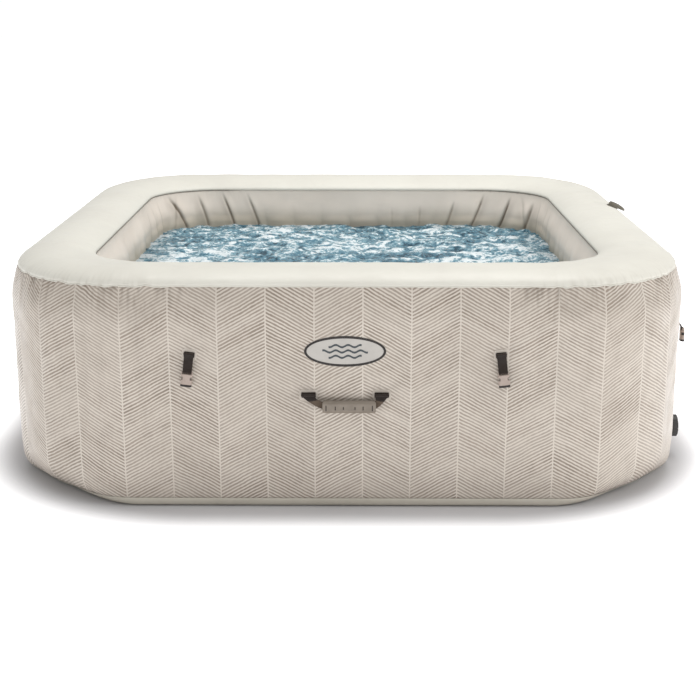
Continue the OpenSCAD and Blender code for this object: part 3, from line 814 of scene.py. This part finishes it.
def rim_skin():
    ring = WALL_RING
    section = rim_section(24)
    way = np.concatenate([[0], np.cumsum(np.hypot(*np.diff(section[:, :2], axis=0).T))])
    s, w, end = ring.s, way[:, None], way[-1]
    corner = ring.corner(0.12)
    # creases cross the outer seam at the corners and fade out on the shoulder
    hang = np.exp(-w / (0.010 + 0.018 * corner))
    gather = hang * bell(field(s, w, 0.022, 0.06, 16, 5, 0.12), 0.28)
    push = 0.0006 * corner * hang * field(s, w, 0.03, 0.09, 12, 33, 0.2) - (0.0002 + 0.0018 * corner) * gather
    in_hang = np.exp(-(end - w) / 0.022) * bell(field(s, w, 0.03, 0.10, 14, 35, 0.1), 0.3)
    push = push - (0.0003 + 0.0012 * ring.corner(0.20)) * in_hang
    # the rim is fuller than the CAD model's, most of all at the back
    crown = np.sin(math.pi * w / end)
    push = push + crown * (0.0085 + 0.0055 * ring.out[:, 1])
    push = push + 0.0010 * crown * field(s, w, 0.18, 0.60, 14, 37, 0.3)
    outer, inner = fade(w, SEAM_EDGE), fade(end - w, SEAM_EDGE)
    push = push - 0.0016 * outer - 0.0015 * inner
    # tone is painted shade in the corner creases and where the skin tucks into both seams
    tone = (0.02 + 0.30 * corner) * gather + 0.35 * outer + 0.55 * inner * seam_shade(ring)
    low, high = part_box("air_inlet_base")
    inlet = (low + high) / 2
    wave = seam_wave(ring)
    rows = []
    for i, (inside, height, facing, lift) in enumerate(section):
        blend = smooth((inside - CREST_IN) / (WALL_T - CREST_IN))
        radius = CORNER_R - inside + (POOL_RIM_R - CORNER_R + WALL_T) * blend
        wider = spread(ring) * blend
        # the rim lies smooth under the air inlet's flange
        x, y, _ = ring.row(HALF - inside, radius, height, wider).T
        near = np.hypot(x - inlet.x, y - inlet.y)
        step = push[i] * smooth((near - 0.03) / 0.05) - 0.0003 * (near < 0.05)
        z = height + step * lift + wave * math.exp(-way[i] / 0.02)
        rows.append(ring.row(HALF - inside, radius, z, wider + step * facing))
    return ring_piece("rim_skin", ring, rows, CREAM, "rim_vinyl", ["rim_panel"], heights=way, tone=tone)


def outer_seam():
    """The welded bead under the rim, as distance out from the seam, and height."""
    ring = WALL_RING
    bead = ((-0.003, -0.0022), (-0.0004, -0.0018), (0.0002, -0.0004), (-0.0006, 0.0010), (-0.003, 0.0014))
    z = SEAM_Z + seam_wave(ring)
    rows = [ring.row(HALF - SEAM_IN, CORNER_R - SEAM_IN, z + up, proud) for proud, up in bead]
    return ring_piece("outer_seam", ring, rows, CREAM, "rim_vinyl")


def pool_seam():
    """The welded bead between the rim and the pool wall, likewise."""
    ring = WALL_RING
    bead = ((0.003, 0.0014), (-0.0002, 0.0010), (-0.0010, 0.0), (-0.0004, -0.0012), (0.003, -0.0016))
    rows = [ring.row(POOL_HALF, POOL_RIM_R, POOL_SEAM_Z + up, proud + spread(ring)) for proud, up in bead]
    return ring_piece("pool_seam", ring, rows, SEAM, "pool_vinyl", tone=seam_shade(ring))


# ---------------------------------------------------------------- the pool

# Creases on the pool's back wall: across at the top, across at the foot, top height, depth
BACK_CREASES = [(-0.745, -0.695, 0.662, 0.0068), (-0.640, -0.606, 0.655, 0.0052),
                (-0.540, -0.492, 0.658, 0.0062), (-0.434, -0.388, 0.654, 0.0052),
                (0.571, 0.512, 0.658, 0.0056), (0.676, 0.630, 0.650, 0.0068), (0.756, 0.728, 0.642, 0.0056),
                (0.445, 0.402, 0.630, 0.0046), (0.300, 0.286, 0.612, 0.0020), (0.180, 0.172, 0.606, 0.0014)]
CREASE_FOOT, DEEPEST = 0.47, 0.0068
# How strong those creases are on each side, and how far out they lie
CREASED = {0: (0.7, 1.0), 1: (0.3, 0.96), 2: (1.0, 1.0), 3: (0.3, -0.95)}


def pool_creases(ring, z):
    """How far out the creases of all four sides go, and their shade."""
    push = tone = np.zeros((len(z), ring.count))
    radius = pool_radius(z)
    centre = POOL_HALF - radius
    # the way along each side, also round the two corners that it ends in
    along = ring.share * centre + radius * np.sin(ring.angle)
    before = -(centre + radius * np.cos(ring.angle))
    deep = 0.3 + 0.7 * smooth((z - 0.520) / 0.015)
    for q, (strength, lean) in CREASED.items():
        corner_before = (ring.side == (q - 1) % 4) & (ring.angle > 0)
        u = np.where(ring.side == q, along, np.where(corner_before, before, FAR))
        for top, foot, z_top, depth in BACK_CREASES:
            # seen from inside the pool, left and right change places
            x0, x1 = -lean * top, -lean * foot
            x1 = x1 - 0.35 * (x0 - x1)
            bow = 0.006 * np.sin(math.pi * np.clip((z - CREASE_FOOT) / (z_top - CREASE_FOOT), 0, 1))
            side = math.copysign(0.014, x1 - x0)
            crease, lip, hollow_shade = (line_crease(u + bow, z, x0 + shift, z_top, x1 + shift, CREASE_FOOT, width)
                                   for shift, width in ((0.0, 0.005), (side, 0.012), (-side, 0.014)))
            push = push + strength * depth * (deep * crease - 0.35 * lip)
            # tone is painted shade along each crease and in the hollow beside it
            tone = tone + strength * depth / DEEPEST * np.maximum(crease, 0.25 * hollow_shade)
    return push, tone


def pool_skin():
    ring = Ring(300, 110)
    s, heights = ring.s, spaced((POOL_Z, 0.48, POOL_SEAM_Z - SEAM_EDGE, POOL_SEAM_Z), (11, 49, 3))
    z = heights[:, None]
    push, tone = pool_creases(ring, z)
    free = smooth((z - 0.545) / 0.03)
    swell = 0.0045 * smooth((z - 0.05) / 0.1) * smooth((POOL_SEAM_Z - z) / 0.13)
    swell = swell + 0.0050 * smooth((z - 0.30) / 0.15) * smooth((0.64 - z) / 0.10)
    push = push - swell * (0.35 + 0.65 * bulge(s) * (1 - 0.6 * free))
    push = push - 0.0015 * (1 + field(s, z, 0.15, 0.5, 14, 51, 0.6)) * smooth((POOL_SEAM_Z - z) / 0.06)
    hang = np.exp(-(POOL_SEAM_Z - z) / 0.02) * bell(field(s, z, 0.03, 0.09, 14, 53, 0.15), 0.3)
    tuck = fade(POOL_SEAM_Z - z, SEAM_EDGE)
    push = push + (0.0004 + 0.0012 * ring.corner(0.22)) * hang + 0.0015 * tuck
    rows = []
    for height, out_by in zip(heights, push):
        wider = spread(ring) * smooth((height - 0.58) / (POOL_SEAM_Z - 0.58))
        rows.append(ring.row(POOL_HALF, pool_radius(height), height, out_by + wider))
    # tone is painted shade in the creases and where the skin tucks into the seam under the rim
    return ring_piece("pool_wall_skin", ring, rows, POOL, "pool_vinyl", ["pool_wall"], flip=True,
                      heights=heights, tone=tone + 0.35 * tuck * seam_shade(ring), holes=POOL_HOLES)


def plate_skin(name, node, radius, z, thick, finish, slot, tuck=0.0):
    """A welded panel lying flat, as large as its node. tuck draws its corners in."""
    ring, half = Ring(60, 24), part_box(node)[1].x
    rows = []
    for share in np.linspace(0.0, 1.0, 26):
        rest, lift = 1 - share, thick * smooth(share / 0.02 + 0.6)
        drawn_in = tuck * ring.into_corner() * rest
        rows.append(ring.row(half * rest + 0.002, radius * rest + 0.001, z + lift, -drawn_in))
    first, last = (row * (1, 1, 0) + (0, 0, z) for row in (rows[0], rows[-1]))
    return ring_piece(name, ring, [first, *rows, last], finish, slot, [node])


def channel_skin():
    """The air channel on the pool floor: a welded tube with a puffed section and seams on both edges."""
    ring, width = Ring(100, 32), 0.060
    low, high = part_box("bubble_channel")
    rows = []
    for a in np.linspace(0, 2 * math.pi, 25):
        across = width / 2 * (1 - squared(math.cos(a), 0.55))
        up = low.z + (high.z - low.z) / 2 * (1 + squared(math.sin(a), 0.7))
        rows.append(ring.row(high.x - across, POOL_R - 0.004 - across, up))
    return ring_piece("bubble_channel_skin", ring, rows, POOL, "pool_vinyl", ["bubble_channel"])


def water():
    """A rippled top, closed by its sides and a flat underside."""
    cells, half, radius = 260, POOL_HALF - 0.001, 0.272
    line = np.linspace(-1, 1, cells + 1)
    x, y = np.meshgrid(line, line)
    # a square grid, drawn in towards the round corners
    angle = np.arctan2(np.abs(y), np.abs(x))
    cos, sin = np.cos(angle), np.sin(angle)
    centre = half - radius
    square = half / np.maximum(cos, sin)
    c = centre * (cos + sin)
    rounded = c + np.sqrt(np.maximum(c * c - 2 * centre * centre + radius * radius, 0))
    limit = np.where(square * np.minimum(cos, sin) <= centre, square, rounded)
    scale = half * (limit / square) ** (np.maximum(np.abs(x), np.abs(y)) ** 3)
    px, py = (x * scale).ravel(), (y * scale).ravel()
    lift = np.zeros(px.size)
    for i, (a, b) in enumerate(zip(px, py)):
        chop = noise.fractal(Vector((a * 11.0, b * 13.0, 2.1)), 0.9, 2.1, 5)
        swell = noise.noise(Vector((a * 3.1, b * 3.1, 7.7)))
        ridge = 1 - abs(noise.noise(Vector((a * 17.0, b * 23.0, 4.4)))) * 2
        lift[i] = 0.0088 * chop + 0.004 * swell + 0.0052 * ridge
    grid = np.arange(px.size).reshape(cells + 1, cells + 1)
    border = [int(v) for v in np.concatenate([grid[0], grid[1:, -1], grid[-1, -2::-1], grid[-2:0:-1, 0]])]
    base, count = px.size, len(border)
    points = list(zip(px, py, WATER_Z + lift)) + [(px[b], py[b], WATER_Z - WATER_DEPTH) for b in border]
    faces = grid_faces(cells, cells)
    faces += [(border[(k + 1) % count], border[k], base + k, base + (k + 1) % count) for k in range(count)]
    faces.append(tuple(range(base + count - 1, base - 1, -1)))
    tone = np.concatenate([(lift + 0.012) / 0.024, np.zeros(count)])
    return mesh_piece("water", points, faces, WATER, "tub", tone=tone)


# ---------------------------------------------------------------- the tension webs

WEB_T, WEB_HOLE_R, WEB_HOLE_PITCH = 0.0012, 0.042, 0.124
# How far short of the pool wall's and the outer wall's faces a web stops
WEB_GAP = 0.0026


def web_sheet(place, length, top, foot_r):
    """A web as points and faces: a sheet with round air holes, cut back over the wall's round lower edge."""
    foot = [(length - float(base_inset(z, foot_r)), z) for z in np.linspace(SKIRT_Z, max(foot_r, 0.04), 8)]
    holes = np.arange(SKIRT_Z + 0.072, top - 0.0615, WEB_HOLE_PITCH)
    loops = [[(0.0, SKIRT_Z), *foot, (length, top), (0.0, top)]]
    loops += [[(length / 2 + WEB_HOLE_R * math.cos(a), z + WEB_HOLE_R * math.sin(a)) for a in circle(28)]
              for z in holes]
    flat, edges = [], []
    for loop in loops:
        first, n = len(flat), len(loop)
        flat += [Vector(p) for p in loop]
        edges += [(first + k, first + (k + 1) % n) for k in range(n)]
    spots, _, triangles, _, _, _ = geometry.delaunay_2d_cdt(flat, edges, [], 1, 1e-5)
    keep = []
    for t in triangles:
        middle = sum((spots[v] for v in t), Vector((0, 0))) / 3
        inside = middle.x < length - float(base_inset(middle.y, foot_r)) + 1e-6
        off_holes = (math.hypot(middle.x - length / 2, middle.y - z) - WEB_HOLE_R for z in holes)
        if inside and all(off > -0.0005 for off in off_holes):
            keep.append(tuple(t))
    n = len(spots)
    points = [place @ Vector((p.x, side * WEB_T / 2, p.y)) for side in (-1, 1) for p in spots]
    faces = keep + [tuple(v + n for v in reversed(t)) for t in keep]
    used = [(a, b) for t in keep for a, b in zip(t, t[1:] + t[:1])]
    inner = set(used)
    faces += [(b, a, a + n, b + n) for a, b in used if (b, a) not in inner]
    return points, faces


def webs():
    """The sheets that tie the outer wall to the pool wall inside the air chamber."""
    parts = []
    start = POOL_R + WEB_GAP
    skew = POOL_R - CORNER_R + WALL_T
    for q in range(4):
        turn = turned(q * math.pi / 2)
        for y in range(-3, 4) if q else np.arange(-2.5, 3):
            place = turn @ shifted(POOL_HALF + WEB_GAP, y * WEB_PITCH, 0)
            parts.append(web_sheet(place, WALL_T - 2 * WEB_GAP, 0.558, SKIRT_R))
        for a in (math.pi / 6, math.pi / 3):
            # the pool's corners and the wall's have different middles
            b = skew * (math.cos(a) + math.sin(a))
            inner = math.sqrt(b * b + start * start - 2 * skew * skew) - b
            place = turn @ shifted(FLAT, FLAT, 0) @ turned(a) @ shifted(inner, 0, 0)
            parts.append(web_sheet(place, CORNER_R - 0.004 - inner, 0.525, BASE_R + 0.006))
    return mesh_piece("tension_webs_fabric", *join(parts), SCRIM, "tub", "web_fabric", ["tension_webs"],
                      flat=True)


# ---------------------------------------------------------------- webbing and handles

def handed(i, part, hand):
    """A name such as front_strap_l."""
    return f"{SIDES[i]}_{part}_{'l' if hand < 0 else 'r'}"


def at_strap(i, hand):
    place = turned(i * math.pi / 2) @ shifted(hand * STRAP_X[i], -HALF - STRAP_OFF, STRAP_Z)
    return place @ turned(math.radians(-hand * STRAP_LEAN), "Y")


def at_handle(i, x=0.0):
    return turned(i * math.pi / 2) @ shifted(x, -HALF - HANDLE_OFF, HANDLE_Z)


def round_bar(place, radius, length):
    """A bar along x with slightly rounded ends."""
    return loft([[place @ Vector((x * length / 2, radius * r * math.cos(a), radius * r * math.sin(a)))
                  for a in circle(16)] for x, r in ((-1, 0.75), (-0.985, 1), (0.985, 1), (1, 0.75))])


def block(place, half, corner, edge):
    """Points and faces of a slab with round corners and a round front edge, standing out along its own -y."""
    (hx, hy, hz), rows = half, [(0.0, 0.0)]
    for a in np.linspace(0, math.pi / 2, 5):
        rows.append((edge * (1 - math.cos(a)), edge * (1 - math.sin(a)) - 2 * hy))
    rings = []
    for inset, y in rows:
        r = max(corner - inset, 0.0003)
        ring = []
        for q, (x, z) in enumerate(((1, 1), (-1, 1), (-1, -1), (1, -1))):
            for a in np.linspace(q * math.pi / 2, (q + 1) * math.pi / 2, 5):
                point = (x * (hx - corner) + r * math.cos(a), y, z * (hz - corner) + r * math.sin(a))
                ring.append(place @ Vector(point))
        rings.append(ring)
    return loft(rings)


def loop_outline(end, turn, thick):
    """Side view of webbing round a pin at that height. turn is 1 for a loop over the pin, and -1 under it."""
    gap = math.asin(thick / 2 / LOOP_R)
    return [(-turn * LOOP_R * math.sin(a), end - turn * LOOP_R * math.cos(a))
            for a in np.linspace(gap, 2 * math.pi - gap, 18)]


def webbing_piece(name, body, nodes, place, width, outline, tones):
    """A folded band: its side outline swept across its width, thinner along both edges."""
    rings = []
    for share in (-1.0, -0.985, -0.93, -0.5, 0.0, 0.5, 0.93, 0.985, 1.0):
        thin = 1 - 0.35 * smooth((abs(share) - 0.9) / 0.1)
        wave = 0.0003 * math.sin(5 * share)
        rings.append([Vector((share * width / 2, y * thin + wave, z)) for y, z in outline])
    local, faces = loft(rings)
    points, tone = [place @ p for p in local], [tones(p.z) for p in local]
    cut = [(local[v].x, local[v].z) for f in faces for v in f]
    mesh_piece(name, points, faces, WEBBING, body, "webbing", nodes, cut, tone)


def strap_skin(i, hand):
    """A cover strap, with painted shade at both ends, where it doubles round its pins."""
    node = handed(i, "strap", hand)
    place = at_strap(i, hand) @ turned(math.radians(-LIFT[i]), "X")
    outline = loop_outline(0.0, 1, STRAP_T) + loop_outline(-STRAP_LEN, -1, STRAP_T)

    def ends(z):
        return fade(abs(z + 0.002), 0.009) + 0.8 * fade(abs(z + STRAP_LEN - 0.002), 0.008)

    webbing_piece(node + "_webbing", node, [node], place, STRAP_W, outline, ends)


# A buckle's shell: its length, half its width and depth, and the radius of its side windows
BUCKLE_LEN, BUCKLE_WIDE, BUCKLE_DEEP, WINDOW_R = 0.038, STRAP_W / 2 + 0.003, 0.006, 0.005


def buckle_levels(top, foot, window):
    """A buckle's rings as height, how much wider and deeper than the shell they are, and shade."""
    shell = [(top, -0.0024, -0.0022, 0), (top - 0.0006, -0.0008, -0.0008, 0), (top - 0.002, 0, 0, 0)]
    shell += [(window + 0.0052 * math.cos(a), 0, 0, 0) for a in np.linspace(0, math.pi, 11)]
    shell += [(top - 0.026, 0, 0, 0), (foot + 0.0076, 0, 0, 0)]
    # the lip and the mouth take painted shade
    lip = [(foot + 0.0068, -0.0004, -0.0004, 0.2), (foot + 0.0066, -0.0004, -0.0004, 1),
           (foot + 0.0060, 0.0004, 0.0003, 1), (foot + 0.0006, 0.0004, 0.0003, 1),
           (foot, -0.0004, -0.0006, 1)]
    mouth = [(foot, -0.0040, -0.0028, 1), (foot + 0.025, -0.0043, -0.0031, 1)]
    return shell + lip + mouth


def buckle_ear(place, side):
    """The round eye on one side of a buckle, where it turns on the webbing's pin."""
    eye, rows = 0.003, []
    for x, r in ((-1, 0.88), (-0.8, 1), (0.8, 1), (1, 0.88)):
        outline = [(eye * r * math.cos(a), eye * r * math.sin(a)) for a in np.linspace(0, math.pi, 9)]
        outline += [(-eye * r, -0.0056), (eye * r, -0.0056)]
        across = side * (BUCKLE_WIDE - 0.0012) + x * 0.0012
        rows.append([place @ Vector((across, y, z)) for y, z in outline])
    return loft(rows)


def buckle_skin(i, hand):
    """The socket half of a buckle: ears on the webbing's pin, side windows, and a mouth with a lip. The
    mouth, the lip and the rims of the windows take painted shade.
    """
    node, lift = handed(i, "buckle", hand), math.radians(LIFT[i])
    place = at_strap(i, hand) @ shifted(0, -STRAP_LEN * math.sin(lift), -STRAP_LEN * math.cos(lift))
    top, window = -LOOP_R - 0.0014, -LOOP_R - 0.014
    rings, tone = [], []
    for z, wider, deeper, shade in reversed(buckle_levels(top, top - BUCKLE_LEN, window)):
        off = (z - window) / WINDOW_R
        cut = WINDOW_R * math.sqrt(max(0.0, 1 - off * off)) if shade == 0 else 0.0
        ring = []
        for a in circle(44):
            x = (BUCKLE_WIDE + wider) * squared(math.cos(a), 0.5)
            y = (BUCKLE_DEEP + deeper) * squared(math.sin(a), 0.7)
            # painted shade round each side window
            edge = smooth((abs(x) - BUCKLE_WIDE + 0.0075) / 0.004)
            tone.append(max(shade, 0.95 * edge * smooth(cut / 0.004)))
            ring.append(place @ Vector((math.copysign(min(abs(x), BUCKLE_WIDE - cut), x), y, z)))
        rings.append(ring)
    pin = round_bar(place, PIN_R, 2 * BUCKLE_WIDE - 0.001)
    points, faces = join([loft(rings), buckle_ear(place, -1), buckle_ear(place, 1), pin])
    tone += [0.0] * (len(points) - len(tone))
    mesh_piece(node + "_shell", points, faces, BUCKLE, node, "buckle_plastic", [node], tone=tone, flat=True)


def curve(points, t):
    """A point on the cubic curve with those four control points."""
    a, b, c, d = (np.array(p) for p in points)
    return (1 - t) ** 3 * a + 3 * t * (1 - t) ** 2 * b + 3 * t * t * (1 - t) * c + t ** 3 * d


def handle_arm(i, hand):
    """Webbing from one pin down into the grip: a loop at the top, then a band that narrows and turns in."""
    body, place = f"{SIDES[i]}_handle", at_handle(i)
    low, high = HANDLE_X - HANDLE_W / 2, HANDLE_X + HANDLE_W / 2
    end = GRIP_R if hand > 0 else -GRIP_L
    tuck, top, foot = end - 0.016, GRIP_HIGH - 0.0055, GRIP_LOW + 0.0055
    inner = [(low, -0.002), (low, -0.010), (end + 0.004, top), (tuck, top)]
    outer = [(high, -0.002), (high - 0.010, -0.015), (end + 0.008, foot + 0.006), (tuck, foot)]
    across = np.linspace(0, 1, 15)
    rings = []
    for t in np.linspace(0, 1, 27):
        a, b = curve(inner, t), curve(outer, t)
        # the band is doubled down to the stitching, and bows out a little below it
        thick = HANDLE_T - 0.0016 * smooth((t - 0.40) / 0.06)
        bow = -0.0022 * math.sin(math.pi * min(t * 1.15, 1.0)) ** 2
        ring = []
        for side in (1, -1):
            for share in across[::side]:
                x, z = a + (b - a) * share
                y = bow + side * thick / 2 * (0.35 + 0.65 * smooth(min(share, 1 - share) / 0.05))
                # painted shade on the upper part of the band, the underside of its fold
                shade = smooth((0.44 - t - 0.10 * share) / 0.04)
                ring.append((place @ Vector((hand * x, y, z)), shade, (share * HANDLE_W, t * 0.06)))
        rings.append(ring[::hand])
    corners = [corner for ring in rings for corner in ring]
    points, faces = loft([[point for point, _, _ in ring] for ring in rings])
    mesh_piece(handed(i, "handle_arm", hand), points, faces, TAN_WEBBING, body, "webbing", [f"{body}_strap"],
               [corners[v][2] for f in faces for v in f], [shade for _, shade, _ in corners])
    outline = loop_outline(0.0, 1, HANDLE_T) + [(-HANDLE_T / 2, -0.0048), (HANDLE_T / 2, -0.0048)]
    # the loop over the pin takes painted shade all over
    webbing_piece(handed(i, "handle_loop", hand), body, (), at_handle(i, hand * HANDLE_X), HANDLE_W, outline,
                  lambda z: 0.8)


def grip_grooves(i):
    """Painted shade: dark blocks at the bottom of the short grooves on both faces of the grip."""
    body = f"{SIDES[i]}_handle"
    parts = []
    for x, length in GRIP_GROOVES:
        middle = at_handle(i) @ shifted(GRIP_L + x, 0, (GRIP_HIGH + GRIP_LOW) / 2 - 0.002)
        for turn in (0, math.pi):
            place = middle @ turned(turn) @ shifted(0, -0.0081, 0)
            parts.append(block(place, (0.00135, 0.0009, length / 2 - 0.0003), 0.0006, 0.0002))
    mesh_piece(f"{body}_grooves", *join(parts), GROOVE_SHADE, body, "grip_plastic", flat=True)


def anchor_skin(place, width, off):
    """A vinyl patch welded to the wall, and a webbing tab with two small lugs that hold the pin."""
    half = width / 2
    patch = block(place @ shifted(0, off + 0.0014, -TAB_DROP), (half + 0.008, 0.0014, 0.017), 0.008, 0.0012)
    tab = block(place @ shifted(0, off + 0.0010, -0.0035), (half + 0.0024, 0.0016, 0.0085), 0.003, 0.0012)
    # a lug narrows from the tab to a blunt end; its section is a flat eight-sided bar
    lug = ((off - 0.001, 0.0036), (off * 0.5, 0.0030), (0.0012, 0.0030), (-0.0018, 0.0026), (-0.0030, 0.0012))
    bar = ((1, 0.7), (0.6, 1), (-0.6, 1), (-1, 0.7), (-1, -0.7), (-0.6, -1), (0.6, -1), (1, -0.7))
    lugs = [loft([[place @ Vector((side * (half + 0.0016) + x * 0.0009, y, reach * z)) for x, z in bar]
                  for y, reach in lug]) for side in (-1, 1)]
    return patch, join([tab, *lugs, round_bar(place, PIN_R, width + 0.0036)])


def anchors():
    """Every anchor of the cover straps in one piece, and of the handles in another, with their patches."""
    straps = [(at_strap(i, hand), STRAP_W, STRAP_OFF) for i in range(4) for hand in (-1, 1)]
    handles = [(at_handle(i, hand * HANDLE_X), HANDLE_W, HANDLE_OFF)
               for i in HANDLE_SIDES for hand in (-1, 1)]
    for node, group in (("strap_anchors", straps), ("handle_anchors", handles)):
        patches, lugs = zip(*(anchor_skin(*spot) for spot in group))
        for name, finish, slot, parts in ((node + "_lugs", WEBBING, "webbing", lugs),
                                          (node + "_patches", PATCH, "printed_vinyl", patches)):
            points, faces = join(parts)
            cut = [(points[v].x + points[v].y, points[v].z) for f in faces for v in f]
            # the tabs and lugs take painted shade all over; the patches' vinyl doesn't read it
            mesh_piece(name, points, faces, finish, "tub", slot, [node], cut, [0.6] * len(points), flat=True)


for side in range(4):
    for hand in (-1, 1):
        strap_skin(side, hand)
        buckle_skin(side, hand)
for side in HANDLE_SIDES:
    for hand in (-1, 1):
        handle_arm(side, hand)
    grip_grooves(side)
anchors()

outer_wall()
rim_skin()
skirt_skin()
pool_skin()
channel_skin()
outer_seam()
pool_seam()
plate_skin("base_panel_skin", "base_panel", CORNER_R - SKIRT_R - 0.004, BASE_Z, 0.0024, STRIP, "base_vinyl",
           BASE_R - SKIRT_R)
plate_skin("floor_skin", "floor_liner", POOL_R, FLOOR_Z, 0.0020, POOL, "pool_vinyl")
webs()
back_weld()
water()

# ---------------------------------------------------------------- finishes of the CAD parts

CAD_FINISHES = {"printed_vinyl": STRIP, "rim_vinyl": CREAM, "base_vinyl": STRIP, "pool_vinyl": POOL,
                "web_fabric": SCRIM, "webbing": WEBBING, "gasket_rubber": RUBBER,
                "buckle_plastic": BUCKLE, "grip_plastic": GRIP_PLASTIC, "fitting_plastic": FITTING,
                "valve_plastic": VALVE, "badge_border": BORDER, "badge_face": FACE, "badge_print": WAVES}
slots = {part["node"]: part["material_slot"] for part in frame["record"]["subparts"]}
for name, node in NODES.items():
    node.data.materials.clear()
    finish = HOOD if name.startswith("air_inlet") else CAD_FINISHES[slots[name]]
    node.data.materials.append(finish.material)


# ---------------------------------------------------------------- floor, light and colour

FLOOR_REACH, FLOOR_DROP = 40.0, 0.0005
# Strength of the white surroundings as light, and as the backdrop that the camera sees
SKY_LIGHT, BACKDROP = 0.55, 1.02


def make_floor():
    """A white floor, lit near the tub and bright by itself further out, so that it has no horizon. The glow
    fades out close round the tub, which paints the tub's soft shadow.
    """
    data = bpy.data.meshes.new("floor")
    corners = [(x * FLOOR_REACH, y * FLOOR_REACH, 0) for x, y in ((-1, -1), (1, -1), (1, 1), (-1, 1))]
    data.from_pydata(corners, [], [(0, 1, 2, 3)])
    finish = Finish("floor", Base_Color=(0.66, 0.655, 0.67, 1), Roughness=0.9, Specular_IOR_Level=0.1,
                    Emission_Color=(1, 1, 1, 1))
    past = [finish.math("MAXIMUM", finish.math("ABSOLUTE", way) - (HALF - SHADE_R), 0.0)
            for way in finish.split(finish.coords)[:2]]
    away = finish.node("ShaderNodeVectorMath", (finish.join(*past),), "Value", operation="LENGTH")
    # painted shadow: the floor glows except in a rounded square round the tub
    finish.link(finish.step(away, SHADE_R + 0.04, SHADE_R + 0.24), finish.bsdf.inputs["Emission Strength"])
    data.materials.append(finish.material)
    floor = put(bpy.data.objects.new("floor", data))
    floor.location.z = -FLOOR_DROP


def make_light():
    """A white studio: soft light from all round, a large lamp overhead and a smaller one on the right."""
    world = bpy.data.worlds.new("studio")
    bpy.context.scene.world = world
    world.use_nodes = True
    nodes, links = world.node_tree.nodes, world.node_tree.links
    sky = nodes["Background"]
    sky.inputs["Color"].default_value = (1, 1, 1, 1)
    ray, strength = nodes.new("ShaderNodeLightPath"), nodes.new("ShaderNodeMapRange")
    strength.inputs["To Min"].default_value = SKY_LIGHT
    strength.inputs["To Max"].default_value = BACKDROP
    links.new(ray.outputs["Is Camera Ray"], strength.inputs["Value"])
    links.new(strength.outputs[0], sky.inputs["Strength"])
    area_light("overhead", (0.45, 0.3, 4.6), (0.1, -0.1, 0.4), 3.2, 120, (1, 0.99, 0.975))
    area_light("side", (4.2, -1.8, 2.2), (0.6, -0.4, 0.4), 1.8, 40, (1, 0.985, 0.965))
    view = bpy.context.scene.view_settings
    view.view_transform, view.look, view.exposure = "Standard", "None", 0.0


make_floor()
make_light()
